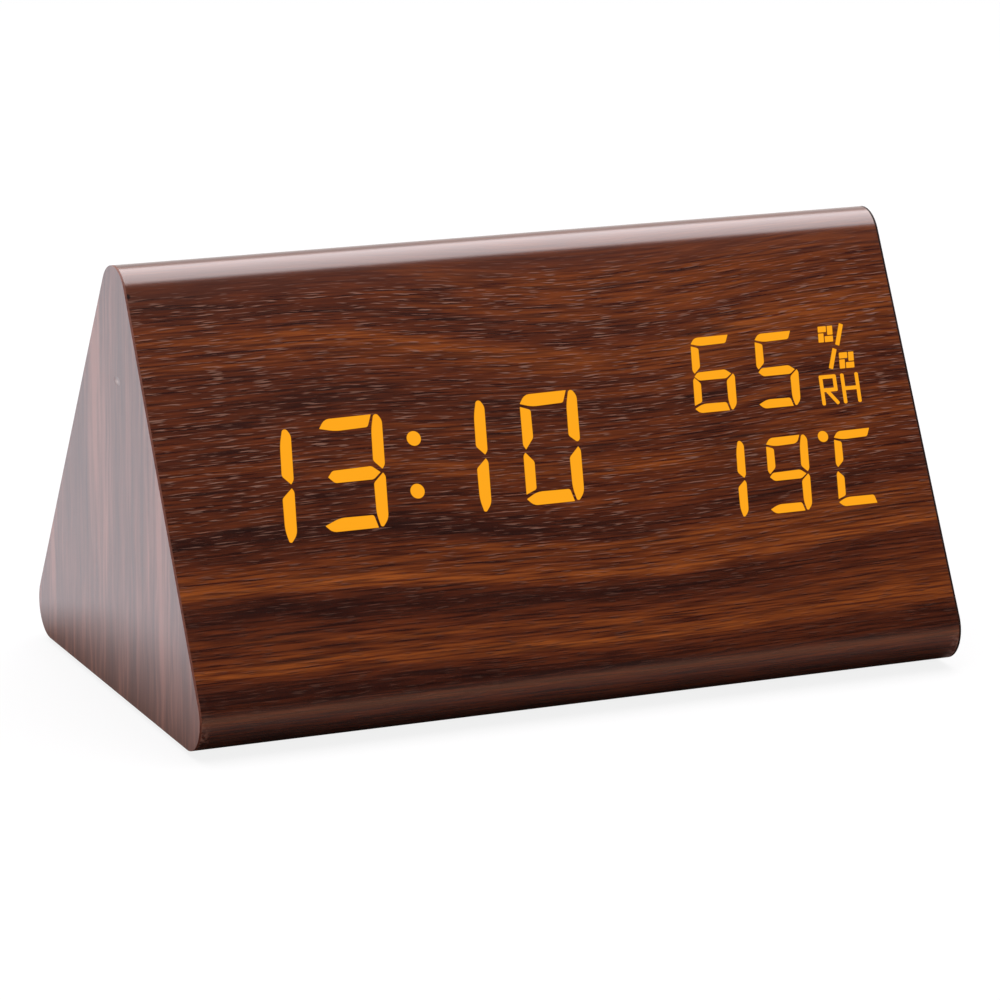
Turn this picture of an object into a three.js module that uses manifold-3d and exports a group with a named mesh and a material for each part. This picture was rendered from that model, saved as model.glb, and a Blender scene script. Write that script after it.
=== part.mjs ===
// Wooden digital alarm clock: a three-sided case in walnut foil, with lit digits on its front slope.
// Millimetres. X runs to the right, the front faces -Y, Z is up, and the foot pads stand on Z = 0.
import * as THREE from "three";
import { mergeVertices } from "three/addons/utils/BufferGeometryUtils.js";
import Module from "manifold-3d";

const wasm = await Module();
wasm.setup();

// Clearances
const seat = 0.3; // under a piece that is glued, soldered or screwed to another
const slip = 0.3; // round a piece in its cut-out
const lightSlip = 0.1; // round a lit bar in its well
const overrun = 1; // how far a cutter runs past the face that it cuts

// Case: the triangle is measured before its edges are rounded
const caseWidth = 150;
const triangleBase = 93;
const triangleHeight = 85;
const edgeRadius = 6.2;
const foilThickness = 0.3;
const endFoilThickness = 0.4;
const boardThickness = 6;
const endBoardThickness = 5;
const arcSteps = 8;

// Foot pads
const padRadius = 5;
const padThickness = 1;
const padEndInset = 13; // from the end of the case to the pad's middle
const padSideInset = 7; // from the edge of the flat underside to the pad's middle

// Display, on the front slope
const displayRise = 0.8; // of its middle above the middle of the slope
const displaySideMargin = 0.8; // from the outermost guide plate to the window in the front board
const displayEndMargin = 2.4; // above and below the guide plates
const reflectorDepth = 4.4;
const guidePlateThickness = 0.7;
const guidePlateMargin = 0.3; // round a sign's bars
const guidePlateGap = 0.3; // between two guide plates
const displayBoardEdge = 0.6; // to the end boards
const displayBoardLip = 4.5; // past the window, above and below
const boardSheet = 1.2; // thickness of both circuit boards
const ledLength = 1.6;
const ledWidth = 0.8;
const ledHeight = 0.5;
const displayScrewInset = 9.6; // from the inside of the end board

// Signs: a digit's place is the left end of its baseline
const bigWidth = 11.4;
const bigHeight = 20.6;
const bigSlantDegrees = 7;
const bigPitch = 18;
const bigInset = 12.2; // from the left end of the case
const colonPitch = 20; // from the digit before the colon to the digit after it
const colonRadius = 1.4;
const colonSpacing = 9.6;
const colonSetback = 3.1; // from the colon's middle line to the digit after it
const smallWidth = 8.6;
const smallHeight = 14.3;
const smallSlantDegrees = 7.8;
const smallPitch = 13.1;
const smallRise = 1.2; // of the middle of the two rows above the middle of the display
const smallRowGap = 5.5;
const humidityInset = 45.2; // from the right end of the case
const temperatureInset = 47.2;
const degreePitch = 14.1;
const degreeDotRadius = 1.1;
const degreeDotSetback = 2.2; // left of the letter and below its top
const degreeDotDrop = 0.8;

const percentPitch = 14.1;
const percentWidth = 7.1;
const percentHeight = 8.4;
const percentSquare = 3.1;
const percentHole = 1;
const slashWidth = 0.9;
const legendPitch = 13.6;
const legendStroke = 0.75;
const legendHeight = 5;
const legendLetterWidth = 3;
const legendLetterGap = 1.5;

// Rear panel: places are measured on the rear slope, seen from behind
const panelWidth = 116;
const panelRadius = 3;
const panelThickness = 2;
const panelRecess = 0.3;
const panelLedge = 3.5; // of the rear board under the panel's rim
const panelScrewInset = 2;
const counterboreDepth = 1.2;

const cellRadius = 5.25;
const cellLength = 44.5;
const cellNubRadius = 1.9;
const cellNubLength = 1;
const cellEdge = 0.6;
const cellPitch = 10.9;
const cellCount = 3;
const cellClearance = 0.5;
const contactThickness = 0.4;
const contactMargin = 1; // of a contact plate past the spring or bump
const bumpLength = 0.6;
const bumpRadius = 1.6;
const springLength = 4;
const springBaseRadius = 3.4;
const springTipRadius = 2;
const trayWall = 1.4;
const trayFloor = 1.2;
const traySlip = 0.45; // between the tray and the cut-out in the rear board
const trayToBase = 2.2; // from the tray's lowest corner to the base board

const doorThickness = 1.8;
const doorBarrelRadius = 1.1;
const doorPinRadius = 0.6;
const doorPinLength = 1; // inside the wall of the tray
const doorPinSlip = 0.25;
const doorStopWidth = 20;
const doorStopDepth = 1;
const doorNotchRadius = 4;
const doorNotchDepth = 1.2;

const buttonWidth = 9;
const buttonHeight = 6;
const buttonProud = 0.9;
const buttonFlangeLip = 1;
const buttonFlangeThickness = 0.8;
const buttonStemRadius = 1.5;
const buttonStemLength = 2;
const buttonTravel = 0.5;
const buttonPitch = 14;
const buttonRise = 8; // above the middle of the panel

const switchWidth = 6;
const switchHeight = 3.1;
const plungerRadius = 1.7;
const plungerLength = 0.5;

const controlBoardHeight = 34;
const controlBoardMargin = 1.5; // to the tray and to the cut-out in the rear board
const bossRadius = 2.2;
const bossInset = 3.2; // from the edges of the control board to the boss's middle
const lowerRowDrop = 9; // of the socket, sounder and sensor below the middle of the panel

const socketRadius = 4;
const socketBoreRadius = 2.6;
const socketPinRadius = 0.7;
const socketBoreDepth = 7;
const socketPinSetback = 1;
const socketRecess = 0.2;
const sounderRadius = 4.8;
const sounderHeight = 4.5;
const sounderHoleRadius = 0.8;
const sounderHoleDepth = 2;
const sensorWidth = 4;
const sensorHeight = 1.6;
const ventCount = 4;
const ventPitch = 2.6;
const ventWidth = 1.2;
const ventLength = 8;

const chipWidth = 12;
const chipDepth = 7;
const chipHeight = 1.5;
const chipLegs = 6;
const chipLegWidth = 0.5;
const chipLegReach = 1;
const chipLegPitch = 1.6;
const connectorWidth = 14;
const connectorDepth = 5;
const connectorHeight = 3;
const connectorX = -28;
const ribbonWidth = 12;
const ribbonThickness = 0.5;
const ribbonBend = 12;
const ribbonSteps = 14;

// Screws: all are pan-head self-tappers in two sizes
const boardScrew = { headRadius: 1.8, headHeight: 1.1, shankRadius: 0.9, length: 4.2 };
const panelScrew = { headRadius: 1.5, headHeight: 0.9, shankRadius: 0.75, length: 4.4 };
const screwTipShare = 0.5;
const crossWidth = 0.5;
const crossLengthShare = 1.1; // of the head's radius
const crossDepthShare = 0.5; // of the head's height
const screwSides = 12;
const pilotSlip = 0.15;

const roundSides = 24;
const smallRoundSides = 16;

// Planes and frames that follow from the sizes
const slopeAngle = Math.atan2(triangleHeight, triangleBase / 2);
const slopeLength = Math.hypot(triangleHeight, triangleBase / 2);
const inradius = (triangleBase * triangleHeight) / (triangleBase + 2 * slopeLength);
const boardInset = foilThickness + seat;
const boardBackInset = boardInset + boardThickness;
const endX = caseWidth / 2;
const boardEndX = endX - endFoilThickness;
const innerX = boardEndX - endBoardThickness;
const boardFace = -boardInset; // depth of a board's outer face below the slope
const boardBack = -boardBackInset;

const fullTurn = 2 * Math.PI;
const quarterTurn = Math.PI / 2;
const xAxis = new THREE.Vector3(1, 0, 0);
const yAxis = new THREE.Vector3(0, 1, 0);
const zAxis = new THREE.Vector3(0, 0, 1);
const sectionToCase = new THREE.Matrix4().makeBasis(yAxis, zAxis, xAxis);
const frontToCase = new THREE.Matrix4()
  .makeTranslation(0, -triangleBase / 2, 0)
  .multiply(new THREE.Matrix4().makeRotationX(slopeAngle));
const rearToCase = new THREE.Matrix4().makeRotationZ(Math.PI).multiply(frontToCase);

// Finishes
const finish = (color, roughness, metalness = 0) => ({ color, roughness, metalness });
const walnut = finish(0x5f2f18, 0.42);
const walnutEnd = finish(0x6e4a42, 0.45);
const fibreboard = finish(0xa8825c, 0.85);
const amber = finish(0xffa81e, 0.4);
const blackPlastic = finish(0x1b1b1c, 0.55);
const padRubber = finish(0x2a2a2b, 0.9);
const circuitGreen = finish(0x1f5a3a, 0.5);
const chipBlack = finish(0x17181a, 0.5);
const steel = finish(0xb9bcc0, 0.35, 1);
const nickel = finish(0xc9c6bd, 0.3, 1);
const cellJacket = finish(0x3b5e8c, 0.4);
const ribbonGrey = finish(0x9a9da0, 0.6);
const sensorBlue = finish(0x3f7fb5, 0.5);

// Solids
function solid(geometry) {
  const bare = geometry.clone();
  bare.deleteAttribute("normal");
  bare.deleteAttribute("uv");
  const merged = mergeVertices(bare);
  return new wasm.Manifold(new wasm.Mesh({
    numProp: 3,
    vertProperties: new Float32Array(merged.attributes.position.array),
    triVerts: new Uint32Array(merged.index.array),
  }));
}

function geometryOf(manifold) {
  const cut = manifold.getMesh();
  const geometry = new THREE.BufferGeometry();
  geometry.setAttribute("position", new THREE.BufferAttribute(cut.vertProperties, cut.numProp));
  geometry.setIndex(new THREE.BufferAttribute(cut.triVerts, 1));
  geometry.computeVertexNormals();
  return geometry;
}

const joined = (geometries) => geometries.map(solid).reduce((whole, next) => whole.add(next));
const without = (whole, cutters) => cutters.map(solid).reduce((rest, cutter) => rest.subtract(cutter), whole);

function block(u, v, w) {
  const geometry = new THREE.BoxGeometry(u[1] - u[0], v[1] - v[0], w[1] - w[0]);
  return geometry.translate((u[0] + u[1]) / 2, (v[0] + v[1]) / 2, (w[0] + w[1]) / 2);
}

const around = (middle, width) => [middle - width / 2, middle + width / 2];

function plate(outline, w, hole) {
  const shape = new THREE.Shape(outline);
  if (hole) shape.holes.push(new THREE.Path(hole));
  const geometry = new THREE.ExtrudeGeometry(shape, { depth: w[1] - w[0], bevelEnabled: false });
  return geometry.translate(0, 0, w[0]);
}

const alongX = (outline, x, hole) => plate(outline, x, hole).applyMatrix4(sectionToCase);

function rod(middle, w, radius, sides = roundSides) {
  const geometry = new THREE.CylinderGeometry(radius, radius, w[1] - w[0], sides);
  return geometry.rotateX(quarterTurn).translate(middle.x, middle.y, (w[0] + w[1]) / 2);
}

// Outlines
function arc(centre, radius, from, to, steps = arcSteps) {
  const angles = Array.from({ length: steps + 1 }, (_, i) => from + ((to - from) * i) / steps);
  return angles.map((a) => new THREE.Vector2(Math.cos(a), Math.sin(a)).multiplyScalar(radius).add(centre));
}

const circle = (centre, radius, sides) => arc(centre, radius, 0, fullTurn, sides).slice(0, -1);

function roundedRectangle(middle, width, height, radius, steps = arcSteps) {
  const turns = [[1, 1, 0], [-1, 1, 1], [-1, -1, 2], [1, -1, 3]];
  return turns.flatMap(([right, up, quarter]) => {
    const centre = new THREE.Vector2(right * (width / 2 - radius), up * (height / 2 - radius)).add(middle);
    return arc(centre, radius, quarter * quarterTurn, (quarter + 1) * quarterTurn, steps);
  });
}

function stroke(from, to, width) {
  const along = to.clone().sub(from).normalize();
  const side = new THREE.Vector2(-along.y, along.x).multiplyScalar(width / 2);
  return [from.clone().sub(side), to.clone().sub(side), to.clone().add(side), from.clone().add(side)];
}

function grown(outline, by) {
  const turn = THREE.ShapeUtils.isClockWise(outline) ? -1 : 1;
  return outline.map((point, i) => {
    const before = outline[(i + outline.length - 1) % outline.length];
    const after = outline[(i + 1) % outline.length];
    const first = point.clone().sub(before).normalize();
    const second = after.clone().sub(point).normalize();
    const bisector = new THREE.Vector2(first.y + second.y, -first.x - second.x).multiplyScalar(turn);
    return point.clone().add(bisector.multiplyScalar(by / (1 + first.dot(second))));
  });
}

// Case section: three faces, each named with the corners that it runs between
const incentre = new THREE.Vector2(0, inradius);
const sharpCorners = {
  front: new THREE.Vector2(-triangleBase / 2, 0),
  rear: new THREE.Vector2(triangleBase / 2, 0),
  ridge: new THREE.Vector2(0, triangleHeight),
};
const faces = {
  base: { start: "front", end: "rear", before: quarterTurn + slopeAngle - fullTurn, angle: -quarterTurn,
    after: quarterTurn - slopeAngle },
  rear: { start: "rear", end: "ridge", before: -quarterTurn, angle: quarterTurn - slopeAngle,
    after: quarterTurn + slopeAngle },
  front: { start: "ridge", end: "front", before: quarterTurn - slopeAngle, angle: quarterTurn + slopeAngle,
    after: fullTurn - quarterTurn },
};
const cornerAt = (name, inset) => incentre.clone().lerp(sharpCorners[name], 1 - inset / inradius);

function caseOutline(inset) {
  return Object.values(faces).flatMap((face) =>
    arc(cornerAt(face.end, edgeRadius), edgeRadius - inset, face.angle, face.after));
}

// A board's section runs from mitre to mitre, with half a glue line left at each
function boardOutline({ start, end, before, angle, after }) {
  const radius = edgeRadius - boardInset;
  const setback = Math.asin(seat / 2 / radius);
  const along = new THREE.Vector2(-Math.sin(angle), Math.cos(angle));
  const glue = (turn) => seat / 2 / Math.cos(turn / 2);
  const innerStart = cornerAt(start, boardBackInset).addScaledVector(along, glue(angle - before));
  const innerEnd = cornerAt(end, boardBackInset).addScaledVector(along, -glue(after - angle));
  return [
    innerStart,
    ...arc(cornerAt(start, edgeRadius), radius, (before + angle) / 2 + setback, angle),
    ...arc(cornerAt(end, edgeRadius), radius, angle, (angle + after) / 2 - setback),
    innerEnd,
  ];
}

// Lit bars: each outline is in shares of the digit's width and height, upright. The segments are, in turn,
// the top, upper right, lower right, bottom, lower left, upper left and middle bar.
const segmentNames = "abcdefg";
const segmentShares = [
  [[0, 0.913], [0.092, 0.995], [0.82, 1], [0.754, 0.889], [0.206, 0.879]],
  [[0.855, 0.995], [0.921, 1], [1, 0.942], [1, 0.546], [0.952, 0.517], [0.803, 0.59], [0.807, 0.87]],
  [[0.96, 0.473], [1, 0.445], [1, 0.072], [0.908, 0.005], [0.864, 0.01], [0.803, 0.121], [0.794, 0.396]],
  [[0, 0.063], [0.189, 0.12], [0.759, 0.116], [0.829, 0], [0.118, 0]],
  [[0.039, 0.461], [0.184, 0.389], [0.184, 0.142], [0, 0.101], [0, 0.44]],
  [[0, 0.889], [0.184, 0.853], [0.193, 0.6], [0.048, 0.53], [0, 0.565]],
  [[0.035, 0.483], [0.114, 0.537], [0.772, 0.546], [0.921, 0.483], [0.798, 0.425], [0.149, 0.425]],
];
const litSegments = { 0: "abcdef", 1: "bc", 3: "abcdg", 5: "acdfg", 6: "acdefg", 9: "abcdfg", C: "adef" };

const slantOf = (degrees) => Math.tan(THREE.MathUtils.degToRad(degrees));
const displayCentre = slopeLength / 2 + displayRise;
const smallCentre = displayCentre + smallRise;
const bigRow = {
  width: bigWidth,
  height: bigHeight,
  slant: slantOf(bigSlantDegrees),
  baseline: displayCentre - bigHeight / 2,
};
const humidityRow = {
  width: smallWidth,
  height: smallHeight,
  slant: slantOf(smallSlantDegrees),
  baseline: smallCentre + smallRowGap / 2,
};
const temperatureRow = { ...humidityRow, baseline: smallCentre - smallRowGap / 2 - smallHeight };
const hourTensX = bigInset - endX;
const minuteTensX = hourTensX + bigPitch + colonPitch;
const humidityX = endX - humidityInset;
const temperatureX = endX - temperatureInset;

// A place in a row, which leans to the right as it rises from the baseline
function leaning(row, left, across, rise) {
  return new THREE.Vector2(left + across + rise * row.slant, row.baseline + rise);
}

function segmentOutline(row, left, segment) {
  const place = ([across, up]) => leaning(row, left, across * row.width, up * row.height);
  return segmentShares[segmentNames.indexOf(segment)].map(place);
}

function digit(row, left, sign, segments = segmentNames) {
  const bar = (segment) => ({ outline: segmentOutline(row, left, segment) });
  const dark = [...segments].filter((segment) => !litSegments[sign].includes(segment));
  return { lit: [...litSegments[sign]].map(bar), unlit: dark.map(bar), slant: row.slant };
}

const dot = (centre, radius) => ({ outline: circle(centre, radius, smallRoundSides) });

function colonSign() {
  const dots = [-1, 1].map((way) =>
    dot(leaning(bigRow, minuteTensX, -colonSetback, bigHeight / 2 + (way * colonSpacing) / 2), colonRadius));
  return { lit: dots, unlit: [], slant: bigRow.slant };
}

function slantedSquare(centre, width, slant) {
  const corners = [[-1, -1], [1, -1], [1, 1], [-1, 1]];
  return corners.map(([right, up]) =>
    new THREE.Vector2((width / 2) * (right + up * slant), (width / 2) * up).add(centre));
}

// The percent sign has a square ring at two corners of its box, and a slash in two halves,
// whose ends are in shares of the box's width and height
const slashShares = [[0.3, 0.02, 0.455, 0.47], [0.54, 0.54, 0.7, 1.02]];

function percentSign() {
  const legendTop = humidityRow.baseline + legendHeight + legendStroke;
  const row = { ...humidityRow, baseline: legendTop + 2 * guidePlateMargin + guidePlateGap };
  const left = humidityX + smallPitch + percentPitch;
  const half = percentSquare / 2;
  const centres = [[half, percentHeight - half], [percentWidth - half, half]];
  const rings = centres.map(([across, rise]) => {
    const centre = leaning(row, left, across, rise);
    return {
      outline: slantedSquare(centre, percentSquare, row.slant),
      hole: slantedSquare(centre, percentHole, row.slant),
    };
  });
  const slashes = slashShares.map(([x0, y0, x1, y1]) => ({
    outline: stroke(
      leaning(row, left, x0 * percentWidth, y0 * percentHeight),
      leaning(row, left, x1 * percentWidth, y1 * percentHeight),
      slashWidth,
    ),
  }));
  return { lit: [...rings, ...slashes], unlit: [], slant: row.slant };
}

// The letters R and H as strokes, in shares of a letter's width and height. The bowl of the R stays
// open at its lower right, which holds the piece inside it to the rest of the foil.
const letterShares = [
  [[0, 0, 0, 1], [0, 1, 0.9, 1], [0.9, 1, 0.9, 0.66], [0.5, 0.5, 0, 0.5], [0.35, 0.5, 0.85, 0]],
  [[0, 0, 0, 1], [1, 0, 1, 1], [0, 0.5, 1, 0.5]],
];

function legendSign() {
  const row = { ...humidityRow, baseline: humidityRow.baseline + legendStroke / 2 };
  const lit = letterShares.flatMap((strokes, i) => {
    const left = humidityX + smallPitch + legendPitch + i * (legendLetterWidth + legendLetterGap);
    const place = (across, up) => leaning(row, left, across * legendLetterWidth, up * legendHeight);
    return strokes.map(([x0, y0, x1, y1]) => {
      const from = place(x0, y0);
      const to = place(x1, y1);
      const end = to.clone().sub(from).setLength(legendStroke / 2);
      return { outline: stroke(from.sub(end), to.add(end), legendStroke) };
    });
  });
  return { lit, unlit: [], slant: row.slant };
}

function degreeSign() {
  const left = temperatureX + smallPitch + degreePitch;
  const letter = digit(temperatureRow, left, "C", "");
  const centre = leaning(temperatureRow, left, -degreeDotSetback, smallHeight - degreeDotDrop);
  return { ...letter, lit: [...letter.lit, dot(centre, degreeDotRadius)] };
}

const rowSigns = {
  hour_tens: digit(bigRow, hourTensX, "1"),
  hour_units: digit(bigRow, hourTensX + bigPitch, "3"),
  colon: colonSign(),
  minute_tens: digit(bigRow, minuteTensX, "1"),
  minute_units: digit(bigRow, minuteTensX + bigPitch, "0"),
  humidity_tens: digit(humidityRow, humidityX, "6"),
  humidity_units: digit(humidityRow, humidityX + smallPitch, "5"),
  percent_sign: percentSign(),
  humidity_legend: legendSign(),
  temperature_tens: digit(temperatureRow, temperatureX, "1"),
  temperature_units: digit(temperatureRow, temperatureX + smallPitch, "9"),
  degree_sign: degreeSign(),
};

// Some signs stand a little off their row, by these shares of a big digit's width and height
const offRowShares = {
  hour_tens: [0, -0.075],
  hour_units: [-0.035, -0.017],
  minute_tens: [-0.03, 0.017],
  minute_units: [0, 0.034],
  humidity_tens: [0, 0.016],
  percent_sign: [0, -0.024],
  humidity_legend: [-0.035, -0.024],
};

function moved(sign, [across, up]) {
  const step = new THREE.Vector2(across * bigWidth, up * bigHeight);
  const shifted = (outline) => outline?.map((point) => point.clone().add(step));
  const bars = (kind) => kind.map((bar) => ({ outline: shifted(bar.outline), hole: shifted(bar.hole) }));
  return { ...sign, lit: bars(sign.lit), unlit: bars(sign.unlit) };
}

const signs = { ...rowSigns };
for (const [name, shares] of Object.entries(offRowShares)) signs[name] = moved(signs[name], shares);

// The plate behind one sign's bars leans as they do
function guidePlateOutline({ lit, unlit, slant }) {
  const points = [...lit, ...unlit].flatMap((bar) => bar.outline);
  const upright = points.map((point) => point.x - point.y * slant);
  const left = Math.min(...upright) - guidePlateMargin;
  const right = Math.max(...upright) + guidePlateMargin;
  const bottom = Math.min(...points.map((point) => point.y)) - guidePlateMargin;
  const top = Math.max(...points.map((point) => point.y)) + guidePlateMargin;
  const corners = [[left, bottom], [right, bottom], [right, top], [left, top]];
  return corners.map(([x, y]) => new THREE.Vector2(x + y * slant, y));
}

const litBars = Object.values(signs).flatMap((sign) => sign.lit);
const allBars = Object.values(signs).flatMap((sign) => [...sign.lit, ...sign.unlit]);
const wells = (bars, w) => bars.map((bar) => plate(grown(bar.outline, lightSlip), w));

// Depths of the display, counted from the slope inwards
const reflectorFace = boardFace;
const reflectorBack = reflectorFace - reflectorDepth;
const guideFace = reflectorBack - seat;
const guideBack = guideFace - guidePlateThickness;
const displayBoardFace = boardBack - seat;
const displayBoardBack = displayBoardFace - boardSheet;
const guidePlates = Object.values(signs).flatMap(guidePlateOutline);
const displayReach = Math.max(...guidePlates.map((point) => Math.abs(point.x))) + displaySideMargin;
const displayBottom = Math.min(...guidePlates.map((point) => point.y)) - displayEndMargin;
const displayTop = Math.max(...guidePlates.map((point) => point.y)) + displayEndMargin;
const displayWindow = [around(0, 2 * displayReach), [displayBottom, displayTop]];
const displayMiddle = (displayBottom + displayTop) / 2;
const displayScrewPlaces = [-1, 1].flatMap((right) => [
  new THREE.Vector2(right * (innerX - displayScrewInset), displayBottom - displayBoardLip / 2),
  new THREE.Vector2(right * (innerX - displayScrewInset), displayTop + displayBoardLip / 2),
]);

// Depths and places of the rear panel, counted from the rear slope inwards
const panelFace = -panelRecess;
const panelBack = panelFace - panelThickness;
const doorBack = panelFace - doorThickness;
const cellDepth = doorBack - cellClearance - cellRadius;
const trayFloorFace = cellDepth - cellRadius - seat;
const trayBack = trayFloorFace - trayFloor;
const trayLength = cellLength + 2 * seat + bumpLength + springLength + 2 * (contactThickness + seat);
const trayHeight = (cellCount - 1) * cellPitch + 2 * (cellRadius + cellClearance);
const trayRise = boardBackInset + trayToBase; // of the tray's lowest corner above the underside
const trayBottom = (trayRise - trayBack * Math.cos(slopeAngle)) / Math.sin(slopeAngle);
const panelMiddle = new THREE.Vector2(0, trayBottom + trayWall + trayHeight / 2);
const holeWidth = panelWidth - 2 * panelLedge;
const holeHeight = trayHeight + 2 * (trayWall + traySlip);
const panelHeight = holeHeight + 2 * panelLedge;
const trayLeft = -holeWidth / 2 + trayWall + traySlip;
const tray = {
  u: [trayLeft, trayLeft + trayLength],
  v: around(panelMiddle.y, trayHeight),
  middle: trayLeft + trayLength / 2,
};
const hinge = new THREE.Vector2(tray.v[0] + slip + doorBarrelRadius, panelFace - doorBarrelRadius);

const controlLeft = tray.u[1] + trayWall + controlBoardMargin;
const controlRight = holeWidth / 2 - controlBoardMargin;
const control = {
  u: [controlLeft, controlRight],
  v: around(panelMiddle.y, controlBoardHeight),
  middle: (controlLeft + controlRight) / 2,
};
const stemEnd = panelBack - seat - buttonFlangeThickness - buttonStemLength;
const switchFace = stemEnd - buttonTravel - seat - plungerLength;
const controlSeat = switchFace - switchHeight; // where the parts on the control board end
const controlFace = controlSeat - seat;
const controlBack = controlFace - boardSheet;
const upperRow = panelMiddle.y + buttonRise;
const lowerRow = panelMiddle.y - lowerRowDrop;
const column = (place) => control.middle + place * buttonPitch;
const bossPlaces = [
  new THREE.Vector2(control.u[0] + bossInset, control.v[1] - bossInset),
  new THREE.Vector2(control.u[1] - bossInset, control.v[0] + bossInset),
];
const panelScrewPlaces = [-1, 1].flatMap((right) => [-1, 1].map((up) => new THREE.Vector2(
  right * (panelWidth / 2 - panelScrewInset), panelMiddle.y + up * (panelHeight / 2 - panelScrewInset))));

// Case pieces
function wrapFoil() {
  const sleeve = alongX(caseOutline(0), [-boardEndX, boardEndX], caseOutline(foilThickness).reverse());
  const windows = wells(litBars, [-foilThickness - seat / 2, overrun]);
  const panelCut = plate(panelOutline(slip), [-foilThickness - seat / 2, overrun]);
  return without(solid(sleeve), [
    ...windows.map((window) => window.applyMatrix4(frontToCase)),
    panelCut.applyMatrix4(rearToCase),
  ]);
}

function panelOutline(by) {
  const [width, height] = [panelWidth + 2 * by, panelHeight + 2 * by];
  return roundedRectangle(panelMiddle, width, height, panelRadius + by, arcSteps / 2);
}

function frontBoard() {
  const board = solid(alongX(boardOutline(faces.front), [-innerX, innerX]));
  const window = block(...displayWindow, [boardBack - overrun, boardFace + overrun]);
  const pilots = displayScrewPlaces.map((place) => pilotHole(place, boardBack));
  return without(board, [window, ...pilots].map((cutter) => cutter.applyMatrix4(frontToCase)));
}

// A blind hole for a screw that holds a circuit board, from the face that the board lies on
function pilotHole(place, from) {
  const depth = boardScrew.length - boardSheet;
  return rod(place, [from - overrun, from + depth], boardScrew.shankRadius + pilotSlip, screwSides);
}

function rearBoard() {
  const board = solid(alongX(boardOutline(faces.rear), [-innerX, innerX]));
  const rebate = plate(panelOutline(slip), [panelBack - seat, overrun]);
  const hole = block(around(0, holeWidth), around(panelMiddle.y, holeHeight), [boardBack - overrun, overrun]);
  const depth = panelFace - counterboreDepth - panelScrew.length - seat;
  const pilots = panelScrewPlaces.map((place) =>
    rod(place, [depth, overrun], panelScrew.shankRadius + pilotSlip, screwSides));
  return without(board, [rebate, hole, ...pilots].map((cutter) => cutter.applyMatrix4(rearToCase)));
}

function footPad() {
  return new THREE.CylinderGeometry(padRadius, padRadius, padThickness, roundSides)
    .rotateX(quarterTurn)
    .translate(0, 0, -padThickness / 2);
}

// Display pieces
function reflectorGrid() {
  const [u, v] = displayWindow;
  const body = block([u[0] + slip, u[1] - slip], [v[0] + slip, v[1] - slip], [reflectorBack, reflectorFace]);
  return without(solid(body), wells(allBars, [reflectorBack - overrun, reflectorFace + overrun]));
}

function lightGuide(sign) {
  const bars = (kind, face) => kind.map((bar) => plate(bar.outline, [guideBack, face], bar.hole));
  return joined([
    plate(guidePlateOutline(sign), [guideBack, guideFace]),
    ...bars(sign.lit, 0),
    ...bars(sign.unlit, reflectorFace),
  ]);
}

function displayBoard() {
  const width = 2 * (innerX - displayBoardEdge);
  const height = displayTop - displayBottom + 2 * displayBoardLip;
  const w = [displayBoardBack, displayBoardFace];
  const sheet = block(around(0, width), around(displayMiddle, height), w);
  const leds = allBars.map((bar) => {
    const centre = bar.outline.reduce((sum, point) => sum.add(point), new THREE.Vector2());
    centre.divideScalar(bar.outline.length);
    return block(around(centre.x, ledWidth), around(centre.y, ledLength),
      [displayBoardBack, displayBoardFace + ledHeight]);
  });
  const connector = block(around(connectorX, connectorWidth), around(displayMiddle, connectorDepth),
    [displayBoardBack - connectorHeight, displayBoardFace]);
  const holes = displayScrewPlaces.map((place) =>
    rod(place, [w[0] - overrun, w[1] + overrun], boardScrew.shankRadius + pilotSlip, screwSides));
  return without(joined([sheet, ...leds, connector]), holes);
}

function chip() {
  const body = block(around(0, chipWidth), around(0, chipDepth), [-chipHeight, 0]);
  const legs = Array.from({ length: chipLegs }, (_, i) => {
    const place = (i - (chipLegs - 1) / 2) * chipLegPitch;
    return block(around(place, chipLegWidth), around(0, chipDepth + 2 * chipLegReach), [-chipHeight / 2, 0]);
  });
  return joined([body, ...legs]);
}

// A screw whose head rests on W = 0 and whose shank runs down from it
function screwSolid({ headRadius, headHeight, shankRadius, length }) {
  const profile = [
    [0, -length],
    [shankRadius * screwTipShare, -length],
    [shankRadius, -length + shankRadius],
    [shankRadius, 0],
    [headRadius, 0],
    [headRadius, headHeight / 2],
    [headRadius - headHeight / 2, headHeight],
    [0, headHeight],
  ].map(([radius, height]) => new THREE.Vector2(radius, height));
  const body = solid(new THREE.LatheGeometry(profile, screwSides).rotateX(quarterTurn));
  const reach = headRadius * crossLengthShare;
  const w = [headHeight * (1 - crossDepthShare), headHeight + overrun];
  return without(body, [
    block(around(0, reach), around(0, crossWidth), w),
    block(around(0, crossWidth), around(0, reach), w),
  ]);
}

// Rear panel pieces
function stadium(middle, width, height) {
  return roundedRectangle(middle, width, height, height / 2, arcSteps / 2);
}

function ventSlots() {
  return Array.from({ length: ventCount }, (_, i) => {
    const middle = new THREE.Vector2(column(1) + (i - (ventCount - 1) / 2) * ventPitch, lowerRow);
    const outline = roundedRectangle(middle, ventWidth, ventLength, ventWidth / 2, arcSteps / 2);
    return plate(outline, [panelBack - overrun, overrun]);
  });
}

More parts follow.
